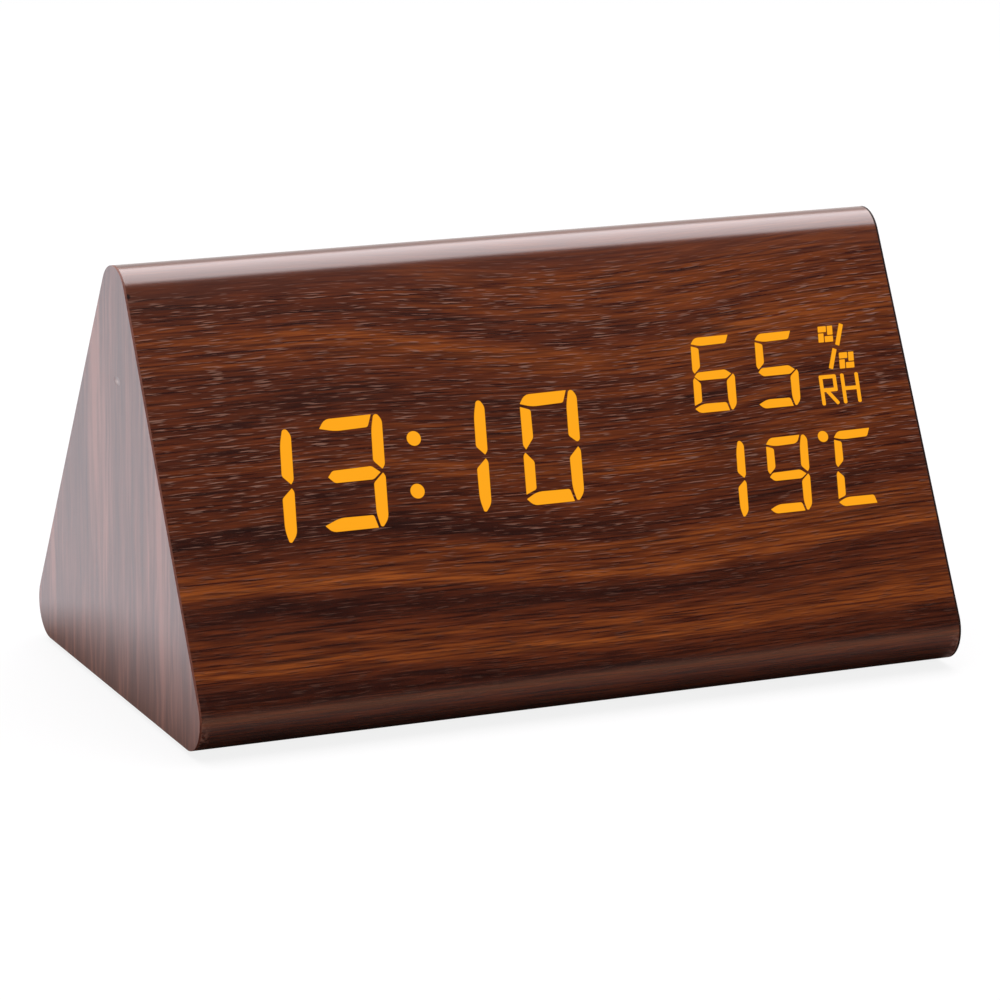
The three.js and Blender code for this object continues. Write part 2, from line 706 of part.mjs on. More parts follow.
function rearPanel() {
  const through = [panelBack - overrun, overrun];
  const trayOuter = [tray.u, tray.v].map(([low, high]) => [low - trayWall, high + trayWall]);
  const bossDepth = [controlSeat, panelFace - panelThickness / 2];
  const stop = block(around(tray.middle, doorStopWidth), [tray.v[1] - doorStopDepth, tray.v[1] + trayWall],
    [doorBack - seat - doorStopDepth, doorBack - seat]);
  const shell = joined([
    plate(panelOutline(0), [panelBack, panelFace]),
    block(...trayOuter, [trayBack, panelFace]),
    ...bossPlaces.map((place) => rod(place, bossDepth, bossRadius)),
  ]);
  const hollow = block(tray.u, tray.v, [trayFloorFace, overrun]);
  const buttonHoles = [-1, 0, 1].map((place) => {
    const middle = new THREE.Vector2(column(place), upperRow);
    return plate(stadium(middle, buttonWidth + 2 * slip, buttonHeight + 2 * slip), through);
  });
  const screwHoles = panelScrewPlaces.flatMap((place) => [
    rod(place, [panelFace - counterboreDepth, overrun], panelScrew.headRadius + pilotSlip, smallRoundSides),
    rod(place, through, panelScrew.shankRadius + pilotSlip, screwSides),
  ]);
  const cutters = [
    hollow,
    ...buttonHoles,
    ...screwHoles,
    ...bossPlaces.map((place) => pilotHole(place, controlSeat)),
    ...ventSlots(),
    alongHinge(doorPinRadius + doorPinSlip, trayLength + 2 * (doorPinLength + slip)),
    rod(new THREE.Vector2(column(-1), lowerRow), through, socketRadius + slip),
    rod(new THREE.Vector2(column(0), lowerRow), through, sounderHoleRadius, smallRoundSides),
    rod(new THREE.Vector2(tray.middle, tray.v[1]), [panelFace - doorNotchDepth, overrun], doorNotchRadius),
  ];
  return without(shell, cutters).add(solid(stop));
}

function alongHinge(radius, length) {
  return new THREE.CylinderGeometry(radius, radius, length, smallRoundSides)
    .rotateZ(quarterTurn)
    .translate(tray.middle, hinge.x, hinge.y);
}

function batteryDoor() {
  const u = [tray.u[0] + slip, tray.u[1] - slip];
  return joined([
    block(u, [hinge.x, tray.v[1] - slip], [doorBack, panelFace]),
    alongHinge(doorBarrelRadius, u[1] - u[0]),
    alongHinge(doorPinRadius, trayLength + 2 * doorPinLength),
  ]);
}

function cellSolid() {
  const half = cellLength / 2;
  const shoulder = half - cellNubLength;
  const profile = [
    [0, -half],
    [cellRadius - cellEdge, -half],
    [cellRadius, -half + cellEdge],
    [cellRadius, shoulder - cellEdge],
    [cellRadius - cellEdge, shoulder],
    [cellNubRadius, shoulder],
    [cellNubRadius, half],
    [0, half],
  ].map(([radius, height]) => new THREE.Vector2(radius, height));
  return new THREE.LatheGeometry(profile, roundSides).rotateZ(-quarterTurn);
}

// Cells lie nub right, nub left, nub right, as a chain in series does
const cellWays = [1, -1, 1];
const cellRow = (i) => panelMiddle.y + (i - (cellCount - 1) / 2) * cellPitch;
const cellShift = (springLength - bumpLength) / 2; // towards the wall that a cell's nub faces

// One contact strip on the wall at the side given (-1 left, 1 right), with what each of its cells meets
function contactStrip(side, rows) {
  const inner = side < 0 ? tray.u[0] + seat + contactThickness : tray.u[1] - seat - contactThickness;
  const edge = springBaseRadius + contactMargin;
  const v = [cellRow(rows[0]) - edge, cellRow(rows[rows.length - 1]) + edge];
  const u = [inner, inner + side * contactThickness].sort((a, b) => a - b);
  const sheet = block(u, v, around(cellDepth, 2 * edge));
  const studs = rows.map((row) => {
    const nub = cellWays[row] === side;
    const length = (nub ? bumpLength : springLength) + contactThickness / 2;
    const [base, tip] = nub ? [bumpRadius, bumpRadius] : [springBaseRadius, springTipRadius];
    return new THREE.CylinderGeometry(tip, base, length, smallRoundSides)
      .rotateZ(side * quarterTurn)
      .translate(inner + side * (contactThickness / 2 - length / 2), cellRow(row), cellDepth);
  });
  return joined([sheet, ...studs]);
}

function button(place) {
  const middle = new THREE.Vector2(column(place), upperRow);
  const flangeFace = panelBack - seat;
  const flangeBack = flangeFace - buttonFlangeThickness;
  return joined([
    plate(stadium(middle, buttonWidth, buttonHeight), [flangeBack, panelFace + buttonProud]),
    plate(stadium(middle, buttonWidth + 2 * buttonFlangeLip, buttonHeight + 2 * buttonFlangeLip),
      [flangeBack, flangeFace]),
    rod(middle, [stemEnd, flangeFace], buttonStemRadius, smallRoundSides),
  ]);
}

function tactSwitch(place) {
  const middle = new THREE.Vector2(column(place), upperRow);
  return joined([
    block(around(middle.x, switchWidth), around(middle.y, switchWidth), [controlSeat, switchFace]),
    rod(middle, [controlSeat, switchFace + plungerLength], plungerRadius, smallRoundSides),
  ]);
}

function controlBoard() {
  const sheet = block(control.u, control.v, [controlBack, controlFace]);
  const connector = block(around(-connectorX, connectorWidth), around(panelMiddle.y, connectorDepth),
    [controlBack - connectorHeight, controlFace]);
  const w = [controlBack - overrun, controlFace + overrun];
  const holes = bossPlaces.map((place) => rod(place, w, boardScrew.shankRadius + pilotSlip, screwSides));
  return without(joined([sheet, connector]), holes);
}

function powerSocket() {
  const mouth = panelFace - socketRecess;
  const boreEnd = mouth - socketBoreDepth;
  const profile = [
    [0, controlSeat],
    [socketRadius, controlSeat],
    [socketRadius, mouth],
    [socketBoreRadius, mouth],
    [socketBoreRadius, boreEnd],
    [socketPinRadius, boreEnd],
    [socketPinRadius, mouth - socketPinSetback],
    [0, mouth - socketPinSetback],
  ].map(([radius, height]) => new THREE.Vector2(radius, height));
  return new THREE.LatheGeometry(profile, roundSides).rotateX(quarterTurn).translate(column(-1), lowerRow, 0);
}

function sounder() {
  const middle = new THREE.Vector2(column(0), lowerRow);
  const top = controlSeat + sounderHeight;
  return without(solid(rod(middle, [controlSeat, top], sounderRadius)),
    [rod(middle, [top - sounderHoleDepth, top + overrun], sounderHoleRadius, smallRoundSides)]);
}

function climateSensor() {
  return block(around(column(1), sensorWidth), around(lowerRow, sensorWidth),
    [controlSeat, controlSeat + sensorHeight]);
}

// The ribbon hangs between the two connectors, in the plane of the case's section
function ribbonCable() {
  const onSection = (matrix, v, w) => {
    const point = new THREE.Vector3(0, v, w).applyMatrix4(matrix);
    return new THREE.Vector2(point.y, point.z);
  };
  const ends = [
    [frontToCase, displayMiddle, displayBoardBack - connectorHeight - seat],
    [rearToCase, panelMiddle.y, controlBack - connectorHeight - seat],
  ].map(([matrix, v, w]) => [onSection(matrix, v, w), onSection(matrix, v, w - ribbonBend)]);
  const path = new THREE.CubicBezierCurve(ends[0][0], ends[0][1], ends[1][1], ends[1][0]);
  const side = (way) => Array.from({ length: ribbonSteps + 1 }, (_, i) => {
    const share = i / ribbonSteps;
    const tangent = path.getTangent(share);
    const normal = new THREE.Vector2(-tangent.y, tangent.x);
    return path.getPoint(share).addScaledVector(normal, (way * ribbonThickness) / 2);
  });
  return alongX([...side(-1), ...side(1).reverse()], around(connectorX, ribbonWidth));
}

// Assembly
const clock = new THREE.Group();
const caseGroup = new THREE.Group();
caseGroup.position.z = padThickness;
clock.add(caseGroup);

function slopeGroup(matrix) {
  const group = new THREE.Group();
  group.applyMatrix4(matrix);
  caseGroup.add(group);
  return group;
}
const frontSlope = slopeGroup(frontToCase);
const rearSlope = slopeGroup(rearToCase);

function addPiece(parent, name, shape, look, place = [0, 0, 0]) {
  const geometry = shape.isBufferGeometry ? shape : geometryOf(shape);
  const mesh = new THREE.Mesh(geometry, new THREE.MeshStandardMaterial(look));
  mesh.name = name;
  mesh.position.set(...place);
  parent.add(mesh);
  return mesh;
}

function addCase() {
  addPiece(caseGroup, "wrap_foil", wrapFoil(), walnut);
  addPiece(caseGroup, "front_board", frontBoard(), fibreboard);
  addPiece(caseGroup, "rear_board", rearBoard(), fibreboard);
  addPiece(caseGroup, "base_board", alongX(boardOutline(faces.base), [-innerX, innerX]), fibreboard);
  for (const [side, way] of [["left", -1], ["right", 1]]) {
    const span = (from, to) => [way * from, way * to].sort((a, b) => a - b);
    const board = alongX(caseOutline(boardInset), span(innerX, boardEndX));
    addPiece(caseGroup, `${side}_end_board`, board, fibreboard);
    addPiece(caseGroup, `${side}_end_foil`, alongX(caseOutline(0), span(boardEndX, endX)), walnutEnd);
    for (const [end, back] of [["front", -1], ["rear", 1]]) {
      const flatEdge = triangleBase / 2 - edgeRadius / Math.tan(slopeAngle / 2);
      const place = [way * (endX - padEndInset), back * (flatEdge - padSideInset), 0];
      addPiece(caseGroup, `foot_pad_${end}_${side}`, footPad(), padRubber, place);
    }
  }
}

function addDisplay() {
  addPiece(frontSlope, "reflector_grid", reflectorGrid(), blackPlastic);
  for (const [name, sign] of Object.entries(signs)) addPiece(frontSlope, name, lightGuide(sign), amber);
  addPiece(frontSlope, "display_board", displayBoard(), circuitGreen);
  addPiece(frontSlope, "display_driver", chip(), chipBlack, [0, displayMiddle, displayBoardBack - seat]);
  displayScrewPlaces.forEach((place, i) => {
    const screw = geometryOf(screwSolid(boardScrew)).rotateY(Math.PI);
    addPiece(frontSlope, `display_screw_${i + 1}`, screw, steel, [place.x, place.y, displayBoardBack - seat]);
  });
}

function addRearPanel() {
  addPiece(rearSlope, "rear_panel", rearPanel(), blackPlastic);
  panelScrewPlaces.forEach((place, i) => {
    const depth = panelFace - counterboreDepth + seat;
    addPiece(rearSlope, `panel_screw_${i + 1}`, screwSolid(panelScrew), steel, [place.x, place.y, depth]);
  });
  addPiece(rearSlope, "battery_door", batteryDoor(), blackPlastic);
  cellWays.forEach((way, i) => {
    const cell = way > 0 ? cellSolid() : cellSolid().rotateZ(Math.PI);
    addPiece(rearSlope, `battery_cell_${i + 1}`, cell, cellJacket,
      [tray.middle + way * cellShift, cellRow(i), cellDepth]);
  });
  addPiece(rearSlope, "contact_strip_first", contactStrip(-1, [0]), nickel);
  addPiece(rearSlope, "contact_strip_left", contactStrip(-1, [1, 2]), nickel);
  addPiece(rearSlope, "contact_strip_right", contactStrip(1, [0, 1]), nickel);
  addPiece(rearSlope, "contact_strip_last", contactStrip(1, [2]), nickel);
}

function addControls() {
  for (const [name, place] of [["set", -1], ["down", 0], ["up", 1]]) {
    addPiece(rearSlope, `${name}_button`, button(place), blackPlastic);
    addPiece(rearSlope, `${name}_switch`, tactSwitch(place), chipBlack);
  }
  addPiece(rearSlope, "control_board", controlBoard(), circuitGreen);
  addPiece(rearSlope, "clock_chip", chip(), chipBlack, [column(0), lowerRow, controlBack - seat]);
  addPiece(rearSlope, "power_socket", powerSocket(), chipBlack);
  addPiece(rearSlope, "sounder", sounder(), chipBlack);
  addPiece(rearSlope, "climate_sensor", climateSensor(), sensorBlue);
  bossPlaces.forEach((place, i) => {
    const screw = geometryOf(screwSolid(boardScrew)).rotateY(Math.PI);
    addPiece(rearSlope, `control_screw_${i + 1}`, screw, steel, [place.x, place.y, controlBack - seat]);
  });
  addPiece(caseGroup, "ribbon_cable", ribbonCable(), ribbonGrey);
}

addCase();
addDisplay();
addRearPanel();
addControls();

export default clock;
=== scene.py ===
"""Wooden digital alarm clock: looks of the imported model, in its frame and in metres."""

import math

import bmesh
import bpy
from mathutils import Matrix, Vector


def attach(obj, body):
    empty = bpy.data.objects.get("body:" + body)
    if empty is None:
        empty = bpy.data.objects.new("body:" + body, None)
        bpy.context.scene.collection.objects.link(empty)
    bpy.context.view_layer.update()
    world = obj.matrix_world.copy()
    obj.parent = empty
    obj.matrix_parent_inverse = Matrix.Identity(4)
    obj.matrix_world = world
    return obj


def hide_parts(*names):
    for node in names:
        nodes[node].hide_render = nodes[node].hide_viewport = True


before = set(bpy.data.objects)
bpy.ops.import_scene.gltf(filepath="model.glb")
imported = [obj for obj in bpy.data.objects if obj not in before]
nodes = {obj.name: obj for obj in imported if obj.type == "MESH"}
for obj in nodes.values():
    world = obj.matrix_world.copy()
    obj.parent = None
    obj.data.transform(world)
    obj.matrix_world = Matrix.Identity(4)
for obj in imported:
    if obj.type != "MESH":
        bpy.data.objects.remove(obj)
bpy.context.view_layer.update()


# Foil wrapped round the case
# The real piece is one printed walnut foil on fibreboard, with a satin lacquer and pressed-in pores.
# It is glued round the three boards in one turn, its seam is underneath, and the panel's place is cut out.
mm = 0.001
case_width = 150
triangle_base = 93
triangle_height = 85
edge_radius = 6.2
pad_height = 1
foil_thickness = 0.3
end_foil_thickness = 0.4
arc_steps = 24
panel_size = Vector((116, 44.0))
panel_corner = 3
panel_middle = Vector((0, 36.068))
panel_gap = 0.3

slope_angle = math.atan2(triangle_height, triangle_base / 2)
slope_length = math.hypot(triangle_height, triangle_base / 2)
lower_tangent = edge_radius / math.tan(slope_angle / 2)
ridge_tangent = edge_radius * math.tan(slope_angle)
slope_flat = slope_length - lower_tangent - ridge_tangent
base_flat = triangle_base - 2 * lower_tangent
lower_turn = math.pi - slope_angle
ridge_turn = 2 * slope_angle
foil_end = case_width / 2 - end_foil_thickness
front_start = edge_radius * lower_turn
rear_start = front_start + slope_flat + edge_radius * ridge_turn

# Places on the case, and on its two slopes, are given in millimetres
in_case = Matrix.Translation((0, 0, pad_height * mm)) @ Matrix.Scale(mm, 4)
up_the_slope = Matrix.Translation((0, -triangle_base / 2, 0)) @ Matrix.Rotation(slope_angle, 4, "X")
on_front = in_case @ up_the_slope
on_rear = in_case @ Matrix.Rotation(math.pi, 4, "Z") @ up_the_slope


def linear(colour, alpha=1.0):
    """An sRGB hex colour as linear RGBA."""
    shares = [int(colour[i:i + 2], 16) / 255 for i in (1, 3, 5)]
    return (*[s / 12.92 if s <= 0.04045 else ((s + 0.055) / 1.055) ** 2.4 for s in shares], alpha)


def add(tree, kind, links=None, stops=(), **settings):
    """Adds a node with its settings, the links or values of its inputs, and the stops of its ramp."""
    made = tree.nodes.new("ShaderNode" + kind)
    for name, value in settings.items():
        setattr(made, name, value)
    for socket, value in (links or {}).items():
        if isinstance(value, bpy.types.NodeSocket):
            tree.links.new(value, made.inputs[socket])
        else:
            made.inputs[socket].default_value = value
    for i, (place, colour) in enumerate(stops):
        elements = made.color_ramp.elements
        element = elements[i] if i < 2 else elements.new(place)
        element.position, element.color = place, linear(colour)
    return made


def new_material(name, **values):
    """A material with its node tree and its shader, whose uniform values are set on the shader."""
    material = bpy.data.materials.new(name)
    material.use_nodes = True
    shader = material.node_tree.nodes["Principled BSDF"]
    for socket, value in values.items():
        shader.inputs[socket.replace("_", " ")].default_value = value
    return material, material.node_tree, shader


# Longer than the clock, so that a pattern doesn't change along that axis
steady = 1000


def period(*lengths):
    """Scale that gives a pattern these lengths in millimetres."""
    return tuple(1 / (length * mm) for length in lengths)


def piece(bm, name, materials, place, body="case", replaces=(), crease=30, flat_over=math.inf):
    """Puts a mesh made in millimetres in its place, and lets it ride on its body. Faces of more than
    flat_over square millimetres are shaded flat, so that the rims beside them don't tint them."""
    for face in bm.faces:
        face.smooth = face.calc_area() < flat_over
    bm.transform(place)
    for edge in bm.edges:
        edge.smooth = len(edge.link_faces) == 2 and edge.calc_face_angle(0) < math.radians(crease)
    mesh = bpy.data.meshes.new(name)
    bm.to_mesh(mesh)
    bm.free()
    for material in materials:
        mesh.materials.append(material)
    made = bpy.data.objects.new(name, mesh)
    bpy.context.scene.collection.objects.link(made)
    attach(made, body)
    if replaces:
        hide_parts(*replaces)
    return made


def made_of(geometry, kind):
    """The vertices, edges or faces among what an operator made."""
    return [item for item in geometry if isinstance(item, kind)]


def wrapped_strip(bm, span):
    """Sweeps a line along X once round the section, and keeps how far round each of its points lies."""
    way_round = bm.verts.layers.float.new("way_round")
    ends = [bm.verts.new((x, lower_tangent - triangle_base / 2, 0)) for x in span]
    line = bm.edges.new(ends)
    heading = Vector((0, -1, 0))
    distance = 0
    for turn, flat in ((lower_turn, slope_flat), (ridge_turn, slope_flat), (lower_turn, base_flat)):
        centre = ends[0].co + Matrix.Rotation(-math.pi / 2, 3, "X") @ heading * edge_radius
        step = Matrix.Rotation(-turn / arc_steps, 3, "X")
        heading = Matrix.Rotation(-turn, 3, "X") @ heading
        for i in range(arc_steps + 1):
            grown = bmesh.ops.extrude_edge_only(bm, edges=[line])["geom"]
            ends = made_of(grown, bmesh.types.BMVert)
            line = next(edge for edge in made_of(grown, bmesh.types.BMEdge) if set(edge.verts) == set(ends))
            if i < arc_steps:
                bmesh.ops.rotate(bm, cent=centre, matrix=step, verts=ends)
                distance += edge_radius * turn / arc_steps
            else:
                bmesh.ops.translate(bm, vec=heading * flat, verts=ends)
                distance += flat
            for end in ends:
                end[way_round] = distance
    return way_round


def rounded_face(bm, middle, size, radius, height=0, segments=8):
    """A flat rectangle with round corners."""
    corners = [(-1, -1), (1, -1), (1, 1), (-1, 1)]
    face = bm.faces.new([bm.verts.new((middle[0] + x * size[0] / 2, middle[1] + y * size[1] / 2, height))
                         for x, y in corners])
    made = bmesh.ops.bevel(bm, geom=list(face.verts), offset=radius, offset_type="OFFSET", segments=segments,
                           profile=0.5, affect="VERTICES", material=-1)
    return next(f for f in set(made["faces"]) | {f for v in made["verts"] for f in v.link_faces} if f.is_valid)


# The print's lines run along the case and dip in the middle, the more the higher they lie on the slope: by
# dip_share of their height at dip_middle, and not at all dip_reach away from there. They also sway by slow_sway
# and short_sway, and the fine fibres follow fine_share of it all. Their tones run from dark, 0, to warm, 1, by
# height in millimetres round the case from the seam underneath, and back down behind the ridge.
ridge_middle = front_start + slope_flat + edge_radius * ridge_turn / 2
dip_middle = 15
dip_reach = 62
dip_share = 0.12
fine_share = 0.28
slow_sway = 2.4
short_sway = 0.4
glint_rows = (26, 50)
ridge_fade = (11, 5)
wear_reach = 1.8
wear_rows = (9, 12)
nick_place = (-74.5 * mm, 86.7 * mm, 0)
nick_radius = 0.6 * mm
figure_part = 0.38
band_reach = 120
band_tones = ((0, 0.0), (7, 0.1), (10.5, 0.42), (14, 0.02), (17, 0.28), (19.5, 0.8), (21.5, 0.62), (27, 0.35),
              (29, 0.08), (31, 0.18), (33, 0.82), (35, 0.55), (39, 0.52), (41.5, 0.28), (43.5, 0.14), (46, 0.3),
              (51, 0.38), (55, 0.6), (58, 0.42), (63, 0.38), (66.5, 0.2), (70, 0.4), (75, 0.6), (80, 0.5),
              (84, 0.36), (89, 0.5), (104, 0.5), (120, 0.6))
bm = bmesh.new()
way_round = wrapped_strip(bm, (-foil_end, foil_end))
rear_out = Vector((0, math.sin(slope_angle), math.cos(slope_angle)))
rear_face = max(bm.faces, key=lambda face: abs(face.normal.dot(rear_out)) * face.calc_area()
                * (face.calc_center_median().y > 0 and face.calc_center_median().z > edge_radius))
outer_edges = list(rear_face.edges)
bmesh.ops.delete(bm, geom=[rear_face], context="FACES_ONLY")
opening = rounded_face(bm, panel_middle, panel_size + Vector((2, 2)) * panel_gap, panel_corner + panel_gap)
rim = list(opening.edges)
for vert in opening.verts:
    vert[way_round] = rear_start + slope_length - ridge_tangent - vert.co.y
bmesh.ops.transform(bm, verts=opening.verts, matrix=Matrix.Rotation(math.pi, 4, "Z") @ up_the_slope)
bmesh.ops.delete(bm, geom=[opening], context="FACES_ONLY")
bmesh.ops.bridge_loops(bm, edges=outer_edges + rim)
# The print is laid on by how far round a point lies. On the flat underside the first line is also the last one.
wrap = bm.loops.layers.uv.new("wrap")
for face in bm.faces:
    underside = face.calc_center_median().z < 0.01 and face.calc_area() > 100
    for loop in face.loops:
        far = loop.vert[way_round]
        if far == 0 and underside:
            far = rear_start + slope_flat + front_start + base_flat
        loop[wrap].uv = (loop.vert.co.x * mm, far * mm)
bmesh.ops.remove_doubles(bm, verts=bm.verts, dist=1e-4)
bmesh.ops.recalc_face_normals(bm, faces=bm.faces)
bmesh.ops.solidify(bm, geom=bm.faces, thickness=foil_thickness)

# Walnut print under a satin lacquer, which mirrors softly: dark and warm bands along the length, which dip in the
# middle as the rings of the tree do, dark streaks and wavy fibres, and short pressed pores. Each pore has a
# painted highlight, as if it caught the light, over a painted shadow below it. Fibres and pores are drawn about
# twice as coarse as real ones, so that they show.
walnut_foil, tree, shader = new_material("walnut_foil", Roughness=0.3, Coat_Weight=1.0, Coat_Roughness=0.22,
                                         Coat_IOR=1.85, Specular_IOR_Level=0.12)
on_foil = add(tree, "UVMap", uv_map="wrap").outputs["UV"]
place = add(tree, "SeparateXYZ", {0: on_foil})
folded = add(tree, "Math", {0: place.outputs["Y"], 1: ridge_middle * mm}, operation="PINGPONG")
dip_turn = add(tree, "MapRange", {"Value": place.outputs["X"], "From Min": (dip_middle - dip_reach) * mm,
                                  "From Max": (dip_middle + dip_reach) * mm, "To Min": -math.pi,
                                  "To Max": math.pi})
dip_wave = add(tree, "Math", {0: dip_turn.outputs[0]}, operation="COSINE")
dip_slope = add(tree, "Math", {0: dip_wave.outputs[0], 1: dip_share / 2, 2: dip_share / 2},
                operation="MULTIPLY_ADD")
dip = add(tree, "Math", {0: dip_slope.outputs[0], 1: folded.outputs[0]}, operation="MULTIPLY")
slow_place = add(tree, "Mapping", {"Vector": on_foil, "Scale": period(60, 22, steady)})
slow = add(tree, "TexNoise", {"Vector": slow_place.outputs[0], "Scale": 1.0, "Detail": 2.0})
short_place = add(tree, "Mapping", {"Vector": on_foil, "Scale": period(10, 4, steady)})
short = add(tree, "TexNoise", {"Vector": short_place.outputs[0], "Scale": 1.0, "Detail": 1.0})
dip_slow = add(tree, "Math", {0: slow.outputs["Fac"], 1: slow_sway * mm, 2: dip.outputs[0]},
               operation="MULTIPLY_ADD")
dip_short = add(tree, "Math", {0: short.outputs["Fac"], 1: short_sway * mm, 2: dip_slow.outputs[0]},
                operation="MULTIPLY_ADD")
lift = add(tree, "CombineXYZ", {"Y": dip_short.outputs[0]})
swayed = add(tree, "VectorMath", {0: on_foil, 1: lift.outputs[0]}, operation="ADD").outputs[0]

height = add(tree, "Math", {0: folded.outputs[0], 1: dip_short.outputs[0]}, operation="ADD").outputs[0]
share = add(tree, "Math", {0: height, 1: 1 / (band_reach * mm)}, operation="MULTIPLY")
band = add(tree, "ValToRGB", {"Fac": share.outputs[0]}, stops=[
    (far / band_reach, "#" + 3 * f"{round(255 * tone ** (1 / 2.2)):02X}") for far, tone in band_tones])
figure_place = add(tree, "Mapping", {"Vector": swayed, "Scale": period(110, 5, steady)})
figure = add(tree, "TexNoise", {"Vector": figure_place.outputs[0], "Scale": 1.0, "Detail": 6.0,
                                "Roughness": 0.65})
figure_share = add(tree, "MapRange", {"Value": figure.outputs["Fac"], "From Min": 0.3, "From Max": 0.7})
both = add(tree, "Mix", {0: figure_part, 2: band.outputs[0], 3: figure_share.outputs[0]}, data_type="FLOAT")
# The print is a little lighter towards the right
lighter = add(tree, "MapRange", {"Value": place.outputs["X"], "From Min": -60 * mm, "From Max": 75 * mm,
                                 "To Min": -0.02, "To Max": 0.06})
toned = add(tree, "Math", {0: both.outputs[0], 1: lighter.outputs[0]}, operation="ADD")
tone = add(tree, "ValToRGB", {"Fac": toned.outputs[0]}, stops=(
    (0.2, "#431908"), (0.45, "#6B300C"), (0.64, "#8C470E"), (0.86, "#B0601A")))

fine_dip = add(tree, "Math", {0: dip_short.outputs[0], 1: fine_share}, operation="MULTIPLY")
fine_lift = add(tree, "CombineXYZ", {"Y": fine_dip.outputs[0]})
fine = add(tree, "VectorMath", {0: on_foil, 1: fine_lift.outputs[0]}, operation="ADD").outputs[0]
fibre_place = add(tree, "Mapping", {"Vector": fine, "Scale": period(13, 0.45, steady)})
fibre = add(tree, "TexNoise", {"Vector": fibre_place.outputs[0], "Scale": 1.0, "Detail": 2.0, "Roughness": 0.55})
fibre_tone = add(tree, "ValToRGB", {"Fac": fibre.outputs["Fac"]}, stops=((0.32, "#8C6A58"), (0.62, "#FFFAF2")))
grain = add(tree, "Mix", {"Factor": 1.0, 6: tone.outputs[0], 7: fibre_tone.outputs[0]},
            data_type="RGBA", blend_type="MULTIPLY")
streak_place = add(tree, "Mapping", {"Vector": fine, "Scale": period(24, 0.8, steady)})
streak = add(tree, "TexNoise", {"Vector": streak_place.outputs[0], "Scale": 1.0, "Detail": 2.0})
streaks = add(tree, "MapRange", {"Value": streak.outputs["Fac"], "From Min": 0.52, "From Max": 0.74,
                                 "To Max": 0.75})

# Pressed pores: their bump is real, and their pale colour further down is a painted highlight
pore_place = add(tree, "Mapping", {"Vector": fine, "Scale": period(4.2, 0.28, steady)})
pore = add(tree, "TexNoise", {"Vector": pore_place.outputs[0], "Scale": 1.0, "Detail": 1.0})
pore_share = add(tree, "MapRange", {"Value": pore.outputs["Fac"], "From Min": 0.59, "From Max": 0.70})
# The painted shadow of each pore lies most of a pore's width below it
pore_shadow_place = add(tree, "VectorMath", {0: pore_place.outputs[0], 1: (0, 0.8, 0)}, operation="ADD")
pore_shadow_noise = add(tree, "TexNoise", {"Vector": pore_shadow_place.outputs[0], "Scale": 1.0, "Detail": 1.0})
painted_pore_shadow = add(tree, "MapRange", {"Value": pore_shadow_noise.outputs["Fac"], "From Min": 0.60, "From Max": 0.72,
                                   "To Max": 0.7})
# The painted glints show most high on the slope and in patches, and least over the ridge, where the grain is
# also evened towards a plain brown
glint_rise = add(tree, "MapRange", {"Value": height, "From Min": glint_rows[0] * mm, "From Max": glint_rows[1] * mm,
                               "To Min": 0.14, "To Max": 0.8})
glint_patches = add(tree, "MapRange", {"Value": slow.outputs["Fac"], "From Min": 0.35, "From Max": 0.6,
                                "To Min": 0.6, "To Max": 1.0})
off_ridge = add(tree, "MapRange", {"Value": folded.outputs[0], "To Min": 1.0, "To Max": 0.15,
                                   "From Min": (ridge_middle - ridge_fade[0]) * mm,
                                   "From Max": (ridge_middle - ridge_fade[1]) * mm})
painted_glints = pore_share
for share_there in (glint_rise, glint_patches, off_ridge):
    painted_glints = add(tree, "Math", {0: painted_glints.outputs[0], 1: share_there.outputs[0]}, operation="MULTIPLY")
blurred = add(tree, "MapRange", {"Value": off_ridge.outputs[0], "From Min": 1.0, "From Max": 0.15,
                                 "To Max": 0.7})

# Wear: pale chips at the trimmed ends of the lower rounding, and one dark nick at the top left corner
off_middle = add(tree, "Math", {0: place.outputs["X"]}, operation="ABSOLUTE")
at_edge = add(tree, "MapRange", {"Value": off_middle.outputs[0], "From Min": (foil_end - wear_reach) * mm,
                                 "From Max": foil_end * mm})
chip_place = add(tree, "Mapping", {"Vector": on_foil, "Scale": period(1.2, 0.8, steady)})
chip = add(tree, "TexNoise", {"Vector": chip_place.outputs[0], "Scale": 1.0, "Detail": 2.0})
chips = add(tree, "MapRange", {"Value": chip.outputs["Fac"], "From Min": 0.44, "From Max": 0.6})
knocked = add(tree, "MapRange", {"Value": height, "From Min": wear_rows[0] * mm,
                                 "From Max": wear_rows[1] * mm, "To Min": 1.0, "To Max": 0.05})
worn = chips
for share_there in (at_edge, knocked):
    worn = add(tree, "Math", {0: worn.outputs[0], 1: share_there.outputs[0]}, operation="MULTIPLY")
from_nick = add(tree, "VectorMath", {0: on_foil, 1: nick_place}, operation="DISTANCE")
nick = add(tree, "MapRange", {"Value": from_nick.outputs["Value"], "From Min": 0.5 * nick_radius,
                              "From Max": nick_radius, "To Min": 1.0, "To Max": 0.0})

# Each mark is laid over the ones before it in its own colour, the pores' painted shadows and painted glints too
marked = grain.outputs[2]
for mark, colour in ((streaks, "#260F0B"), (painted_pore_shadow, "#2A130D"), (painted_glints, "#96705F"), (blurred, "#5E3222"),
                     (worn, "#9A7465"), (nick, "#1E0D09")):
    marked = add(tree, "Mix", {"Factor": mark.outputs[0], 6: marked, 7: linear(colour)},
                 data_type="RGBA").outputs[2]
tree.links.new(marked, shader.inputs["Base Color"])
pressed = add(tree, "Math", {0: fibre.outputs["Fac"], 1: pore_share.outputs[0]}, operation="ADD")
bump = add(tree, "Bump", {"Height": pressed.outputs[0], "Strength": 0.15, "Distance": 0.03 * mm})
tree.links.new(bump.outputs[0], shader.inputs["Normal"])

piece(bm, "wrapped_foil", [walnut_foil], in_case, replaces=["wrap_foil"])


# Foil on the two ends
# The real piece is a rounded triangle of the same foil, pressed on each end board with its grain upright.
# It is trimmed flush with the wrapped foil, which leaves a thin edge all round.
dent_middle = (-75 * mm, -1.7 * mm, 58.9 * mm)
dent_radius = 0.85 * mm
dent_depth = 0.9 * mm
end_sway = 2.5
